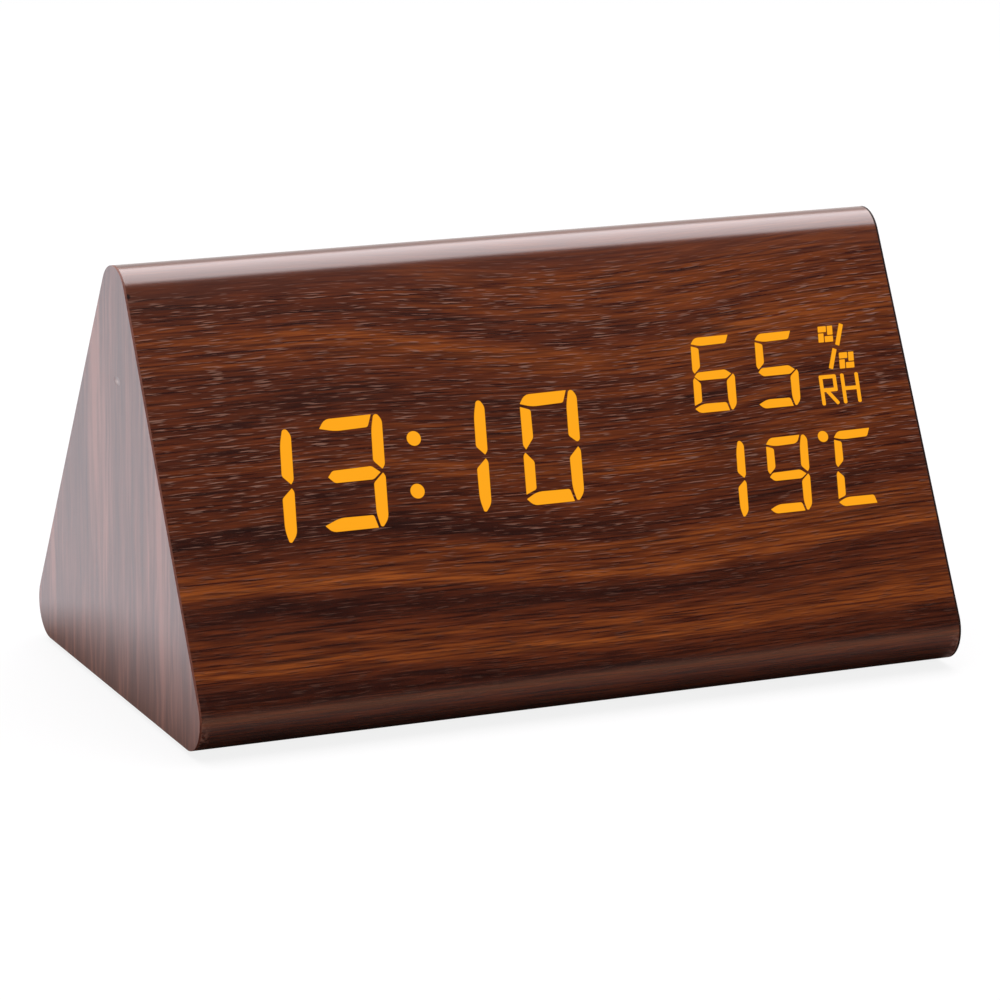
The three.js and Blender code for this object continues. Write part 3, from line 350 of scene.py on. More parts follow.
# The same print with its stripes upright. Its lacquer and sheen turn pale at a slant, so the end looks greyish
walnut_end_foil, tree, shader = new_material("walnut_end_foil", Roughness=0.3, Coat_Weight=1.0,
                                             Coat_Roughness=0.12, Coat_IOR=1.85, Specular_IOR_Level=0.25,
                                             Sheen_Weight=0.22, Sheen_Roughness=0.4,
                                             Sheen_Tint=linear("#FFE9E4"))
here = add(tree, "TexCoord").outputs["Object"]
drift_place = add(tree, "Mapping", {"Vector": here, "Scale": period(steady, 7, 70)})
drift = add(tree, "TexNoise", {"Vector": drift_place.outputs[0], "Scale": 1.0, "Detail": 2.0})
wobble_place = add(tree, "Mapping", {"Vector": here, "Scale": period(steady, 5, 14)})
wobble = add(tree, "TexNoise", {"Vector": wobble_place.outputs[0], "Scale": 1.0, "Detail": 1.0})
sideways = add(tree, "Math", {0: wobble.outputs["Fac"], 1: end_sway * mm}, operation="MULTIPLY")
aside = add(tree, "CombineXYZ", {"Y": sideways.outputs[0]})
wobbling = add(tree, "VectorMath", {0: here, 1: aside.outputs[0]}, operation="ADD")
stripe_place = add(tree, "Mapping", {"Vector": wobbling.outputs[0], "Scale": period(steady, 1.5, 24)})
stripe = add(tree, "TexNoise", {"Vector": stripe_place.outputs[0], "Scale": 1.0, "Detail": 3.0,
                                "Roughness": 0.5})
mixed = add(tree, "Mix", {0: 0.45, 2: drift.outputs["Fac"], 3: stripe.outputs["Fac"]}, data_type="FLOAT")
stripe_tone = add(tree, "ValToRGB", {"Fac": mixed.outputs[0]}, stops=(
    (0.36, "#401C13"), (0.5, "#6D4235"), (0.64, "#A36C5C")))
bump = add(tree, "Bump", {"Height": stripe.outputs["Fac"], "Strength": 0.15, "Distance": 0.02 * mm})
# One small dent on the left end, where something hit it, twice as long as wide. Its middle is painted pale, as a
# highlight
from_dent = add(tree, "VectorMath", {0: here, 1: dent_middle}, operation="SUBTRACT")
rounded = add(tree, "VectorMath", {0: from_dent.outputs[0], 1: (1, 0.5, 1)}, operation="MULTIPLY")
dent_gap = add(tree, "VectorMath", {0: rounded.outputs[0]}, operation="LENGTH")
dent = add(tree, "MapRange", {"Value": dent_gap.outputs["Value"], "From Max": dent_radius},
           interpolation_type="SMOOTHSTEP")
painted_dent_highlight = add(tree, "Mix", {"Factor": dent.outputs[0], 6: linear("#D2BDB6"), 7: stripe_tone.outputs[0]},
              data_type="RGBA")
tree.links.new(painted_dent_highlight.outputs[2], shader.inputs["Base Color"])
dented = add(tree, "Bump", {"Height": dent.outputs[0], "Strength": 1.0, "Distance": dent_depth,
                            "Normal": bump.outputs[0]})
tree.links.new(dented.outputs[0], shader.inputs["Normal"])


def mottled(name, dark, light, grit, bump_height, finish):
    """A material whose colour wavers between two tones in patches of the size given, with a fine bump."""
    material, tree, shader = new_material(name, **finish)
    here = add(tree, "TexCoord").outputs["Object"]
    place = add(tree, "Mapping", {"Vector": here, "Scale": period(grit, grit, grit)})
    mottle = add(tree, "TexNoise", {"Vector": place.outputs[0], "Scale": 1.0, "Detail": 4.0, "Roughness": 0.6})
    colour = add(tree, "ValToRGB", {"Fac": mottle.outputs["Fac"]}, stops=((0.35, dark), (0.65, light)))
    bump = add(tree, "Bump", {"Height": mottle.outputs["Fac"], "Strength": 0.3, "Distance": bump_height * mm})
    tree.links.new(colour.outputs[0], shader.inputs["Base Color"])
    tree.links.new(bump.outputs[0], shader.inputs["Normal"])
    return material


# A trimmed edge is the foil's matt core: a thin warm line on the left end. On the right one it is painted dark,
# as shade
cut_edges = {"left": mottled("cut_foil_edge", "#5E3022", "#7A4634", 0.5, 0.01, {"Roughness": 0.55}),
             "right": mottled("painted_shade_foil_edge", "#160A07", "#2E150D", 0.5, 0.01,
                              {"Roughness": 0.55, "Specular_IOR_Level": 0.2})}
for side, way in (("left", -1), ("right", 1)):
    bm = bmesh.new()
    wrapped_strip(bm, sorted((way * foil_end, way * case_width / 2)))
    bmesh.ops.remove_doubles(bm, verts=bm.verts, dist=1e-4)
    bmesh.ops.holes_fill(bm, edges=bm.edges, sides=0)
    bmesh.ops.recalc_face_normals(bm, faces=bm.faces)
    for face in bm.faces:
        face.material_index = int(abs(face.normal.x) < 0.5)
    piece(bm, f"{side}_end_sheet", [walnut_end_foil, cut_edges[side]], in_case, replaces=[f"{side}_end_foil"])


# Lit bars of the signs
# In the real clock amber light comes through the foil from bar-shaped light guides behind it.
# Each bar is even and bright, with a soft dark rim where the foil spreads the light.
bar_rim = 0.07
bar_proud = 0.03
# How far a bar's corners are rounded: its tips, which turn by more than sharp_turn, least, and most the corners
# that turn by less than outer_turn and lie more than inner_reach from the digit's middle row. None takes more
# than corner_share of the shortest edge beside it. The percent sign is finer.
tip_corner = 0.14
bar_corner = 0.95
inner_corner = 0.35
fine_corner = 0.12
corner_share = 0.42
inner_reach = 3.0
outer_turn = math.radians(62)
sharp_turn = math.radians(80)
flush = 0.01
# Light spread in the foil: an even amber that mirrors nothing, dimmer at the rim of each bar
lit_foil, tree, shader = new_material("amber_light_through_foil", Roughness=0.6, Emission_Strength=1.0,
                                      Specular_IOR_Level=0.0)
shine = add(tree, "Attribute", attribute_name="shine").outputs["Fac"]
glow = add(tree, "ValToRGB", {"Fac": shine}, stops=((0.0, "#A05A0C"), (1.0, "#FFA81E")))
tree.links.new(glow.outputs[0], shader.inputs["Emission Color"])
shader.inputs["Base Color"].default_value = linear("#000000")


def cad_copy(name, place):
    """A copy of a CAD node, merged, with its flat faces whole, in the millimetres of its place."""
    bm = bmesh.new()
    bm.from_mesh(nodes[name].data)
    bm.transform(place.inverted())
    bmesh.ops.remove_doubles(bm, verts=bm.verts, dist=1e-3)
    bmesh.ops.dissolve_limit(bm, angle_limit=math.radians(1), verts=bm.verts, edges=bm.edges)
    return bm


def pinwheel(bm, middle):
    """A square of the percent sign: four bars, each of which starts beside the end of the one before."""
    half = square_size / 2
    inner = half - square_bar
    corners = [(-half, inner), (inner - square_slit, inner), (inner - square_slit, half), (-half, half)]
    before = set(bm.verts)
    face = bm.faces.new([bm.verts.new((x, y, 0)) for x, y in corners])
    bmesh.ops.spin(bm, geom=[face], cent=(0, 0, 0), axis=(0, 0, 1), angle=1.5 * math.pi, steps=3,
                   use_duplicate=True)
    lean = Matrix.Translation(middle) @ Matrix.Shear("XZ", 4, (small_slant, 0))
    bmesh.ops.transform(bm, verts=list(set(bm.verts) - before), matrix=lean)


def stroke(bm, start, end):
    """One straight stroke of a letter, with round ends."""
    middle, along = (start + end) / 2, end - start
    before = set(bm.verts)
    rounded_face(bm, (0, 0), (along.length + letter_stroke, letter_stroke), 0.4 * letter_stroke, segments=4)
    turn = Matrix.Translation(middle) @ Matrix.Rotation(math.atan2(along.y, along.x), 4, "Z")
    bmesh.ops.transform(bm, verts=list(set(bm.verts) - before), matrix=turn)


small_slant = math.tan(math.radians(7.8))
square_size = 3.1
square_bar = 1.18
square_slit = 0.15
square_start = (57.0, 59.35)
square_middles = [Vector((square_start[0] + across + rise * small_slant, square_start[1] + rise, 0))
                  for across, rise in ((1.55, 6.85), (5.55, 1.55))]
letter_stroke = 0.72
letter_place = Vector((56.3, 53.07))
letter_slant = math.tan(math.radians(3.8))
letter_size = Vector((3, 5))
letter_pitch = 4.5
# The strokes of R and H, from point to point, as shares of a letter's size
letters = [((0, 0, 0, 1), (0, 1, 0.95, 1), (0.95, 1, 0.95, 0.5), (0.95, 0.5, 0, 0.5), (0.3, 0.5, 0.95, 0)),
           ((0, 0, 0, 1), (1, 0, 1, 1), (0, 0.5, 1, 0.5))]
# Upright bars run on by upright_longer at the middle row. Where a neighbour is unlit, a bar's tip runs on
# further: its place, and how far across and up
tip_reach = 1.3
upright_longer = 0.15
long_tips = {"hour_units": [((-42.3, 58.2), (-0.7, 0)), ((-44.5, 39.2), (-0.7, 0))],
             "minute_units": [((-4.8, 50.9), (0, -0.45)), ((-5.2, 48.8), (0, 0.2)), ((5.3, 49.1), (0, 0.15))],
             "humidity_tens": [((38.4, 67.0), (0.7, 0))],
             "humidity_units": [((51.5, 66.7), (0.5, 0))],
             "degree_sign": [((63.6, 46.9), (0.5, 0)), ((61.9, 34.2), (0.9, 0))]}
sign_names = ["hour_tens", "hour_units", "colon", "minute_tens", "minute_units", "humidity_tens",
              "humidity_units", "percent_sign", "humidity_legend", "temperature_tens", "temperature_units",
              "degree_sign"]
for name in sign_names:
    legend, percent = name == "humidity_legend", name == "percent_sign"
    bm = bmesh.new() if legend else cad_copy(name, on_front)
    hidden = [face for face in bm.faces if abs(face.calc_center_median().z) > flush]
    bmesh.ops.delete(bm, geom=hidden, context="FACES")
    for middle in square_middles if percent else ():
        ring = [face for face in bm.faces if (face.calc_center_median() - middle).length < square_size / 2]
        bmesh.ops.delete(bm, geom=ring, context="FACES")
        pinwheel(bm, middle)
    for tip, longer in long_tips.get(name, ()):
        ends = [vert for vert in bm.verts if (vert.co.xy - Vector(tip)).length < tip_reach]
        bmesh.ops.translate(bm, verts=ends, vec=(*longer, 0))
    tips = [vert for vert in bm.verts if vert.calc_edge_angle(0) > sharp_turn]
    rows = [vert.co.y for vert in bm.verts] or [0]
    middle_row = (min(rows) + max(rows)) / 2
    for vert in tips if name.endswith(("_tens", "_units", "degree_sign")) else ():
        reach = vert.co.y - vert.link_faces[0].calc_center_median().y
        if abs(vert.co.y - middle_row) < tip_reach and abs(reach) > tip_reach:
            vert.co.y += math.copysign(upright_longer, reach)
    roundings = [(tips, tip_corner)]
    for vert in [vert for vert in bm.verts if vert not in tips]:
        outer = abs(vert.co.y - middle_row) > inner_reach and vert.calc_edge_angle(0) < outer_turn
        widest = fine_corner if percent else bar_corner if outer else inner_corner
        shortest = min(edge.calc_length() for edge in vert.link_edges)
        roundings.append(([vert], min(widest, corner_share * shortest)))
    for corners, offset in roundings:
        bmesh.ops.bevel(bm, geom=corners, offset=offset, offset_type="OFFSET", segments=3, profile=0.5,
                        affect="VERTICES", clamp_overlap=True, material=-1)
    bmesh.ops.remove_doubles(bm, verts=bm.verts, dist=0.02)
    for i, strokes in enumerate(letters if legend else ()):
        for shares in strokes:
            ends = [Vector((x * letter_size.x + i * letter_pitch + y * letter_size.y * letter_slant,
                            y * letter_size.y)) + letter_place for x, y in (shares[:2], shares[2:])]
            stroke(bm, *[end.to_3d() for end in ends])
    bmesh.ops.recalc_face_normals(bm, faces=bm.faces)
    shine_at = bm.verts.layers.float.new("shine")
    if not legend:
        bmesh.ops.inset_region(bm, faces=list(bm.faces), thickness=bar_rim, use_even_offset=True,
                               use_boundary=True)
    for vert in bm.verts:
        vert[shine_at] = 0.0 if vert.is_boundary and not legend else 1.0
    back = made_of(bmesh.ops.extrude_face_region(bm, geom=list(bm.faces), use_keep_orig=True)["geom"],
                   bmesh.types.BMVert)
    bmesh.ops.translate(bm, verts=back, vec=(0, 0, -2 * bar_proud))
    bmesh.ops.translate(bm, verts=bm.verts, vec=(0, 0, bar_proud))
    bmesh.ops.recalc_face_normals(bm, faces=bm.faces)
    piece(bm, f"lit_{name}", [lit_foil], on_front, replaces=[name])


# Boards under the foil
# Five medium-density fibreboards, sawn with mitred edges and glued into the case. Pressed wood fibres give them
# a fine mottled matt face, which the foil hides.
def dress(material, *names):
    """Gives CAD nodes that keep their shape a finished material."""
    for name in names:
        for slot in nodes[name].material_slots:
            slot.material = material


pressed_fibreboard = mottled("pressed_fibreboard", "#8F6C49", "#B08A63", 0.6, 0.05, {"Roughness": 0.85})
dress(pressed_fibreboard, "front_board", "rear_board", "base_board", "left_end_board", "right_end_board")


# Foot pads
# Four dark rubber discs, punched from a self-adhesive sheet and stuck under the base, so their rims are a
# little rounded. Rubber is matt, with a faint grain of the mould.
pad_radius = 5
pad_rim = 0.25
pad_places = Vector((62, 29.042))


def turned(bm, profile, place, steps=48, closed=False):
    """Spins a profile of (radius, height) about its axis, and sets it in its place."""
    before = set(bm.verts)
    verts = [bm.verts.new((radius, 0, height)) for radius, height in profile]
    edges = [bm.edges.new(pair) for pair in zip(verts, verts[1:] + verts[:1] if closed else verts[1:])]
    bmesh.ops.spin(bm, geom=verts + edges, cent=(0, 0, 0), axis=(0, 0, 1), angle=2 * math.pi, steps=steps,
                   use_merge=True)
    bmesh.ops.remove_doubles(bm, verts=[vert for vert in bm.verts if vert not in before], dist=1e-4)
    fresh = [vert for vert in bm.verts if vert not in before]
    bmesh.ops.transform(bm, verts=fresh, matrix=place)
    bmesh.ops.recalc_face_normals(bm, faces=bm.faces)


pad_rubber = mottled("moulded_rubber", "#242425", "#2E2E2F", 0.3, 0.02, {"Roughness": 0.85})
for end, back in (("front", -1), ("rear", 1)):
    for side, way in (("left", -1), ("right", 1)):
        bm = bmesh.new()
        turned(bm, [(0, -pad_height), (pad_radius - pad_rim, -pad_height), (pad_radius, pad_rim - pad_height),
                    (pad_radius, 0), (0, 0)], Matrix.Translation((way * pad_places.x, back * pad_places.y, 0)))
        piece(bm, f"pad_{end}_{side}", [pad_rubber], in_case, replaces=[f"foot_pad_{end}_{side}"])


# Display parts behind the foil
# A black reflector with one well for each bar, a green circuit board that carries the lamps, its driver chip
# and four screws. All of it is closed in by the foil.
# Moulded ABS is a satin black, solder mask a smooth green over copper, moulded epoxy a dull black and zinc plate
# a cool grey metal. Their grit is drawn a few tenths of a millimetre wide, as the real one is too fine to show.
moulded_black = mottled("moulded_black_abs", "#171718", "#1E1E1F", 0.25, 0.02,
                        {"Roughness": 0.5, "Specular_IOR_Level": 0.45})
circuit_green = mottled("solder_mask_green", "#1A4E32", "#236342", 1.5, 0.01, {"Roughness": 0.4})
chip_black = mottled("moulded_epoxy_black", "#141517", "#1C1D1F", 0.2, 0.02, {"Roughness": 0.55})
zinc_steel = mottled("zinc_plated_steel", "#A9ACB0", "#C4C7CB", 0.4, 0.005, {"Roughness": 0.32, "Metallic": 1.0})
dress(moulded_black, "reflector_grid")
dress(circuit_green, "display_board", "control_board")
dress(chip_black, "display_driver", "clock_chip", "sounder", "set_switch", "down_switch", "up_switch")
dress(zinc_steel, "display_screw_1", "display_screw_2", "display_screw_3", "display_screw_4",
      "control_screw_1", "control_screw_2")
ribbon_grey = mottled("ribbon_pvc_grey", "#8E9194", "#A2A5A8", 0.8, 0.01, {"Roughness": 0.5})
dress(ribbon_grey, "ribbon_cable")
sensor_blue = mottled("sensor_plastic_blue", "#35709F", "#447FB0", 0.4, 0.02, {"Roughness": 0.5})
dress(sensor_blue, "climate_sensor")


# Rear panel
# One moulding in black ABS with a fine spark texture: the rim, the battery tray, the holes for the keys, the
# socket and the sounder, and the vents. Its edges are a little rounded, as a mould leaves them.
panel_face = -0.3
moulded_edge = 0.25
sharp_rim = math.radians(60)
# Spark-eroded ABS is matt with a faint glitter. Its grit of 0.1 mm is drawn 0.45 mm wide, so that it shows.
spark_black, tree, shader = new_material("spark_textured_black_abs", Roughness=0.48, Specular_IOR_Level=0.4)
here = add(tree, "TexCoord").outputs["Object"]
spark_place = add(tree, "Mapping", {"Vector": here, "Scale": period(0.45, 0.45, 0.45)})
spark = add(tree, "TexVoronoi", {"Vector": spark_place.outputs[0], "Scale": 1.0})
cloud_place = add(tree, "Mapping", {"Vector": here, "Scale": period(18, 18, 18)})
cloud = add(tree, "TexNoise", {"Vector": cloud_place.outputs[0], "Scale": 1.0, "Detail": 2.0})
colour = add(tree, "ValToRGB", {"Fac": cloud.outputs["Fac"]}, stops=((0.3, "#19191A"), (0.7, "#202021")))
bump = add(tree, "Bump", {"Height": spark.outputs["Distance"], "Strength": 0.35, "Distance": 0.03 * mm})
tree.links.new(colour.outputs[0], shader.inputs["Base Color"])
tree.links.new(bump.outputs[0], shader.inputs["Normal"])


def rounded_rims(bm, level, width=moulded_edge, segments=3):
    """Rounds the sharp edges of a solid that lie at one height over the slope."""
    rims = [edge for edge in bm.edges if len(edge.link_faces) == 2 and edge.calc_face_angle(0) > sharp_rim
            and all(level - flush < vert.co.z < level + flush for vert in edge.verts)]
    bmesh.ops.bevel(bm, geom=rims, offset=width, offset_type="OFFSET", segments=segments, profile=0.5,
                    affect="EDGES", clamp_overlap=True, material=-1)


bm = cad_copy("rear_panel", on_rear)
rounded_rims(bm, panel_face)
piece(bm, "moulded_panel", [spark_black], on_rear, replaces=["rear_panel"], flat_over=6)


# Battery door
# A flat cover in the same black ABS. It swings down on two pins moulded into its lower edge, and snaps under
# the stop at its top. Five ribs under the thumb notch give a hold, and two ribs inside keep it flat.
door_middle = -27.1
door_back = -2.1
grip_top = 50
grip_count = 5
grip_pitch = 1.7
grip_size = Vector((13, 0.85))
grip_proud = 0.25
stiff_rows = (29.5, 43.5)
stiff_size = Vector((44, 1.1))
stiff_proud = 0.3
rib_root = 0.1


def raised(bm, middle, size, low, high, rim=0.12):
    """A low rib with round ends, whose top is rounded too. It stands on low and ends at high."""
    before = set(bm.verts)
    face = rounded_face(bm, middle, size, 0.49 * min(size), low)
    grown = bmesh.ops.extrude_face_region(bm, geom=[face], use_keep_orig=True)["geom"]
    top = made_of(grown, bmesh.types.BMVert)
    bmesh.ops.translate(bm, verts=top, vec=(0, 0, high - low))
    rims = [edge for edge in made_of(grown, bmesh.types.BMEdge) if all(vert in top for vert in edge.verts)]
    bmesh.ops.bevel(bm, geom=rims, offset=rim, offset_type="OFFSET", segments=3, profile=0.5, affect="EDGES",
                    clamp_overlap=True, material=-1)
    bmesh.ops.recalc_face_normals(bm, faces=[face for face in bm.faces if not before & set(face.verts)])


bm = cad_copy("battery_door", on_rear)
rounded_rims(bm, panel_face)
for i in range(grip_count):
    raised(bm, (door_middle, grip_top - i * grip_pitch), grip_size, panel_face - rib_root,
           panel_face + grip_proud)
for row in stiff_rows:
    raised(bm, (door_middle, row), stiff_size, door_back + rib_root, door_back - stiff_proud)
piece(bm, "battery_cover", [spark_black], on_rear, body="door", replaces=["battery_door"],
      flat_over=6)


# Keys
# Three caps moulded in plain black ABS: a top with round ends, a flange that holds it behind the panel, and a
# stem on its switch. The marks on them are pad-printed in white, so they lie a hair over the plastic.
key_pitch = 14
key_middle = Vector((27.175, 44.068))
key_top = 0.6
key_rim = 0.4
print_height = 0.04
word_size = 3.1
arrow_radius = 1.45
# Pad printing ink is a flat, slightly grey white
white_print = mottled("white_pad_print", "#D4D4D0", "#E2E2DE", 0.3, 0.005, {"Roughness": 0.55})


def add_curve(bm, curve, place):
    """Makes a text or a wire a mesh, merges it and sets it in its place."""
    made = bpy.data.objects.new(curve.name, curve)
    bpy.context.scene.collection.objects.link(made)
    graph = bpy.context.evaluated_depsgraph_get()
    mesh = bpy.data.meshes.new_from_object(made.evaluated_get(graph), depsgraph=graph)
    mesh.transform(place)
    bm.from_mesh(mesh)
    bmesh.ops.remove_doubles(bm, verts=bm.verts, dist=1e-3)
    bmesh.ops.recalc_face_normals(bm, faces=bm.faces)
    bpy.data.objects.remove(made)
    bpy.data.curves.remove(curve)
    bpy.data.meshes.remove(mesh)


def words(bm, text, size, middle, height):
    """Printed words, print_height thick, on a face at that height."""
    curve = bpy.data.curves.new("words", "FONT")
    curve.body, curve.size, curve.extrude = text, size, print_height
    curve.align_x = curve.align_y = "CENTER"
    curve.resolution_u = 4
    add_curve(bm, curve, Matrix.Translation((*middle, height)))


for i, key in enumerate(("set", "down", "up")):
    middle = key_middle + Vector(((i - 1) * key_pitch, 0))
    bm = cad_copy(f"{key}_button", on_rear)
    rounded_rims(bm, key_top, key_rim, 5)
    piece(bm, f"{key}_key_cap", [moulded_black], on_rear, body=f"{key}_key", replaces=[f"{key}_button"],
          flat_over=8)
    bm = bmesh.new()
    if key == "set":
        words(bm, "SET", word_size, middle, key_top)
    else:
        turn = Matrix.Rotation(math.pi if key == "down" else 0, 4, "Z")
        bmesh.ops.create_cone(bm, cap_ends=True, segments=3, radius1=arrow_radius, radius2=arrow_radius,
                              depth=2 * print_height, matrix=Matrix.Translation((*middle, key_top)) @ turn)
    piece(bm, f"{key}_key_print", [white_print], on_rear, body=f"{key}_key")


# Power socket
# A round barrel socket in black ABS, with a nickel-plated sleeve in its bore and a pin in the middle. What it
# takes is printed on the panel under it.
socket_middle = Vector((13.175, 27.068))
socket_radius = 4
socket_back = -9.8
bore_radius = 2.6
bore_back = -7.5
bore_mouth = -0.5
pin_radius = 0.7
pin_tip = bore_mouth - 1
sleeve_radius = 2.4
sleeve_wall = 0.15
sleeve_back = bore_back + 0.1
sleeve_front = bore_mouth - 0.9
socket_word_size = 2.6
socket_word_drop = Vector((0, 6.6))
# Nickel plate is a warm, bright metal with a faint cloud
nickel_plate = mottled("nickel_plated_steel", "#B9B6AC", "#CFCCC3", 0.6, 0.004,
                       {"Roughness": 0.24, "Metallic": 1.0})
at_socket = Matrix.Translation((*socket_middle, 0))
bm = bmesh.new()
turned(bm, [(0, socket_back), (socket_radius, socket_back), (socket_radius, bore_mouth - 0.3),
            (socket_radius - 0.1, bore_mouth - 0.08), (socket_radius - 0.3, bore_mouth),
            (bore_radius + 0.35, bore_mouth), (bore_radius + 0.1, bore_mouth - 0.1),
            (bore_radius, bore_mouth - 0.35), (bore_radius, bore_back), (0, bore_back)], at_socket)
piece(bm, "socket_body", [moulded_black], on_rear, replaces=["power_socket"], flat_over=20)
bm = bmesh.new()
turned(bm, [(0, bore_back - 0.2), (pin_radius, bore_back - 0.2), (pin_radius, pin_tip - 0.4),
            (pin_radius - 0.15, pin_tip - 0.1), (pin_radius - 0.4, pin_tip), (0, pin_tip)], at_socket, steps=24)
turned(bm, [(sleeve_radius, sleeve_back), (sleeve_radius + sleeve_wall, sleeve_back),
            (sleeve_radius + sleeve_wall, sleeve_front), (sleeve_radius, sleeve_front)], at_socket, closed=True)
piece(bm, "socket_contacts", [nickel_plate], on_rear)
bm = bmesh.new()
words(bm, "DC 5V", socket_word_size, socket_middle - socket_word_drop, panel_face)
piece(bm, "socket_print", [white_print], on_rear)


# Cells
# Three zinc-carbon cells of the AAA size, laid head to tail. The jacket is printed and varnished steel, rolled
# in over the plated ends, and the stud stands at the positive end.
cell_depth = -7.85
cell_rows = (25.168, 36.068, 46.968)
cell_ways = (1, -1, 1)
cell_middles = (-25.4, -28.8, -25.4)
cell_length = 44.5
jacket_radius = 5.22
jacket_start = 4.25
# From the dished flat end, over the rolled edges of the jacket, to the stud: radius and height in millimetres
cell_profile = [(0, 0), (3.8, 0), (4.1, 0.2), (4.3, 0.25), (4.6, 0.08), (4.95, 0.06), (5.15, 0.2),
                (jacket_radius, 0.5), (jacket_radius, 42.9), (5.1, 43.3), (4.7, 43.5), (4.4, 43.42), (4.1, 43.25),
                (2.1, 43.25), (1.9, 43.4), (1.9, 44.2), (1.8, 44.42), (1.6, cell_length), (0, cell_length)]
# Varnished print on steel, glossy and even, in two blues with bare metal bands and a faint speckle
printed_jacket, tree, shader = new_material("printed_steel_jacket", Roughness=0.28, Coat_Weight=0.6,
                                            Coat_Roughness=0.15)
along = add(tree, "Attribute", attribute_name="along").outputs["Fac"]
here = add(tree, "TexCoord").outputs["Object"]
speck_place = add(tree, "Mapping", {"Vector": here, "Scale": period(0.5, 0.5, 0.5)})
speck = add(tree, "TexNoise", {"Vector": speck_place.outputs[0], "Scale": 1.0, "Detail": 2.0})
jacket_bands = add(tree, "ValToRGB", {"Fac": along}, stops=(
    (0.0, "#C9CDD1"), (0.035, "#2F4F7C"), (0.72, "#2F4F7C"), (0.74, "#C9CDD1"), (0.76, "#3B6296"),
    (1.0, "#3B6296")))
speck_tone = add(tree, "ValToRGB", {"Fac": speck.outputs["Fac"]}, stops=((0.3, "#EDEDED"), (0.7, "#FFFFFF")))
jacket_colour = add(tree, "Mix", {"Factor": 1.0, 6: jacket_bands.outputs[0], 7: speck_tone.outputs[0]},
                    data_type="RGBA", blend_type="MULTIPLY")
tree.links.new(jacket_colour.outputs[2], shader.inputs["Base Color"])
for i, (row, way, middle) in enumerate(zip(cell_rows, cell_ways, cell_middles)):
    bm = bmesh.new()
    turned(bm, cell_profile, Matrix.Translation((0, 0, -cell_length / 2)))
    along_at = bm.verts.layers.float.new("along")
    for vert in bm.verts:
        vert[along_at] = vert.co.z / cell_length + 0.5
    for face in bm.faces:
        face.material_index = int(face.calc_center_median().xy.length < jacket_start)
    lying = Matrix.Translation((middle, row, cell_depth)) @ Matrix.Rotation(way * math.pi / 2, 4, "Y")
    piece(bm, f"cell_{i + 1}", [printed_jacket, nickel_plate], on_rear @ lying,
          replaces=[f"battery_cell_{i + 1}"])


# Contact strips
# Pressed from nickel-plated spring steel and pushed into slots at the ends of the tray. A cell's stud meets a
# pressed bump, and its flat end meets a tapered spring, whose foot is clinched to the strip.
contact_thickness = 0.4
contact_reach = 4.4
contact_faces = {-1: -51.95, 1: -2.25}
strip_edge = 0.08
bump_length = 0.6
bump_profile = [(0, -0.1), (1.6, -0.1), (1.6, 0.1), (1.3, 0.42), (0.8, bump_length), (0, bump_length)]
spring_length = 4
spring_radius = 3.4
spring_taper = 1.4
wire_radius = 0.28
spring_turns = 4.5
spring_steps = 24
strip_rows = {"first": (-1, (0,)), "left": (-1, (1, 2)), "right": (1, (0, 1)), "last": (1, (2,))}


def spring(bm, place):
    """A tapered spring of round wire on an upright axis. Its half turns at both ends lie flat."""
    curve = bpy.data.curves.new("wire", "CURVE")
    curve.dimensions, curve.bevel_depth, curve.bevel_resolution = "3D", wire_radius, 2
    curve.use_fill_caps = True
    line = curve.splines.new("POLY")
    count = round(spring_turns * spring_steps)
    line.points.add(count)
    for i, point in enumerate(line.points):
        turn = i / spring_steps
        risen = min(max((turn - 0.5) / (spring_turns - 1), 0), 1)
        radius = spring_radius - wire_radius - spring_taper * risen
        height = wire_radius + (spring_length - 2 * wire_radius) * risen
        point.co = (radius * math.cos(turn * 2 * math.pi), radius * math.sin(turn * 2 * math.pi), height, 1)
    add_curve(bm, curve, place)


for name, (side, rows) in strip_rows.items():
    face_u = contact_faces[side]
    low, high = cell_rows[rows[0]] - contact_reach, cell_rows[rows[-1]] + contact_reach
    bm = bmesh.new()
    bmesh.ops.create_cube(bm, size=1, matrix=Matrix.Translation(
        (face_u + side * contact_thickness / 2, (low + high) / 2, cell_depth))
        @ Matrix.Diagonal((contact_thickness, high - low, 2 * contact_reach, 1)))
    bmesh.ops.bevel(bm, geom=list(bm.edges), offset=strip_edge, offset_type="OFFSET", segments=2, profile=0.5,
                    affect="EDGES", material=-1)
    for row in rows:
        facing = (Matrix.Translation((face_u, cell_rows[row], cell_depth))
                  @ Matrix.Rotation(-side * math.pi / 2, 4, "Y"))
        if cell_ways[row] == side:
            turned(bm, bump_profile, facing, steps=24)
        else:
            spring(bm, facing)
    piece(bm, f"contact_{name}", [nickel_plate], on_rear, replaces=[f"contact_strip_{name}"],
          flat_over=20)


# Panel screws
# Four tapping screws in zinc-plated steel, with a cross recess, turned into the rear board at the panel's
# corners. Their heads are sunk level with the panel, with a small rounding at the rim.
screw_edge = 0.08
for i in range(1, 5):
    bm = cad_copy(f"panel_screw_{i}", on_rear)
    rounded_rims(bm, panel_face, screw_edge, 2)
    piece(bm, f"tapping_screw_{i}", [zinc_steel], on_rear, replaces=[f"panel_screw_{i}"])


# Floor, light and camera
# A white floor under one big soft light, in a room that is bright behind the clock and dim in front of it.
# Everything here is in metres, and the camera stands where the photograph was taken from.
floor_half = 3
card_half = (75 * mm, 42 * mm, 0)
softbox_level = 3.3
floor = bpy.data.meshes.new("floor")
bm = bmesh.new()
bmesh.ops.create_grid(bm, x_segments=1, y_segments=1, size=floor_half)
bm.to_mesh(floor)
bm.free()
floor_object = bpy.data.objects.new("floor", floor)
bpy.context.scene.collection.objects.link(floor_object)
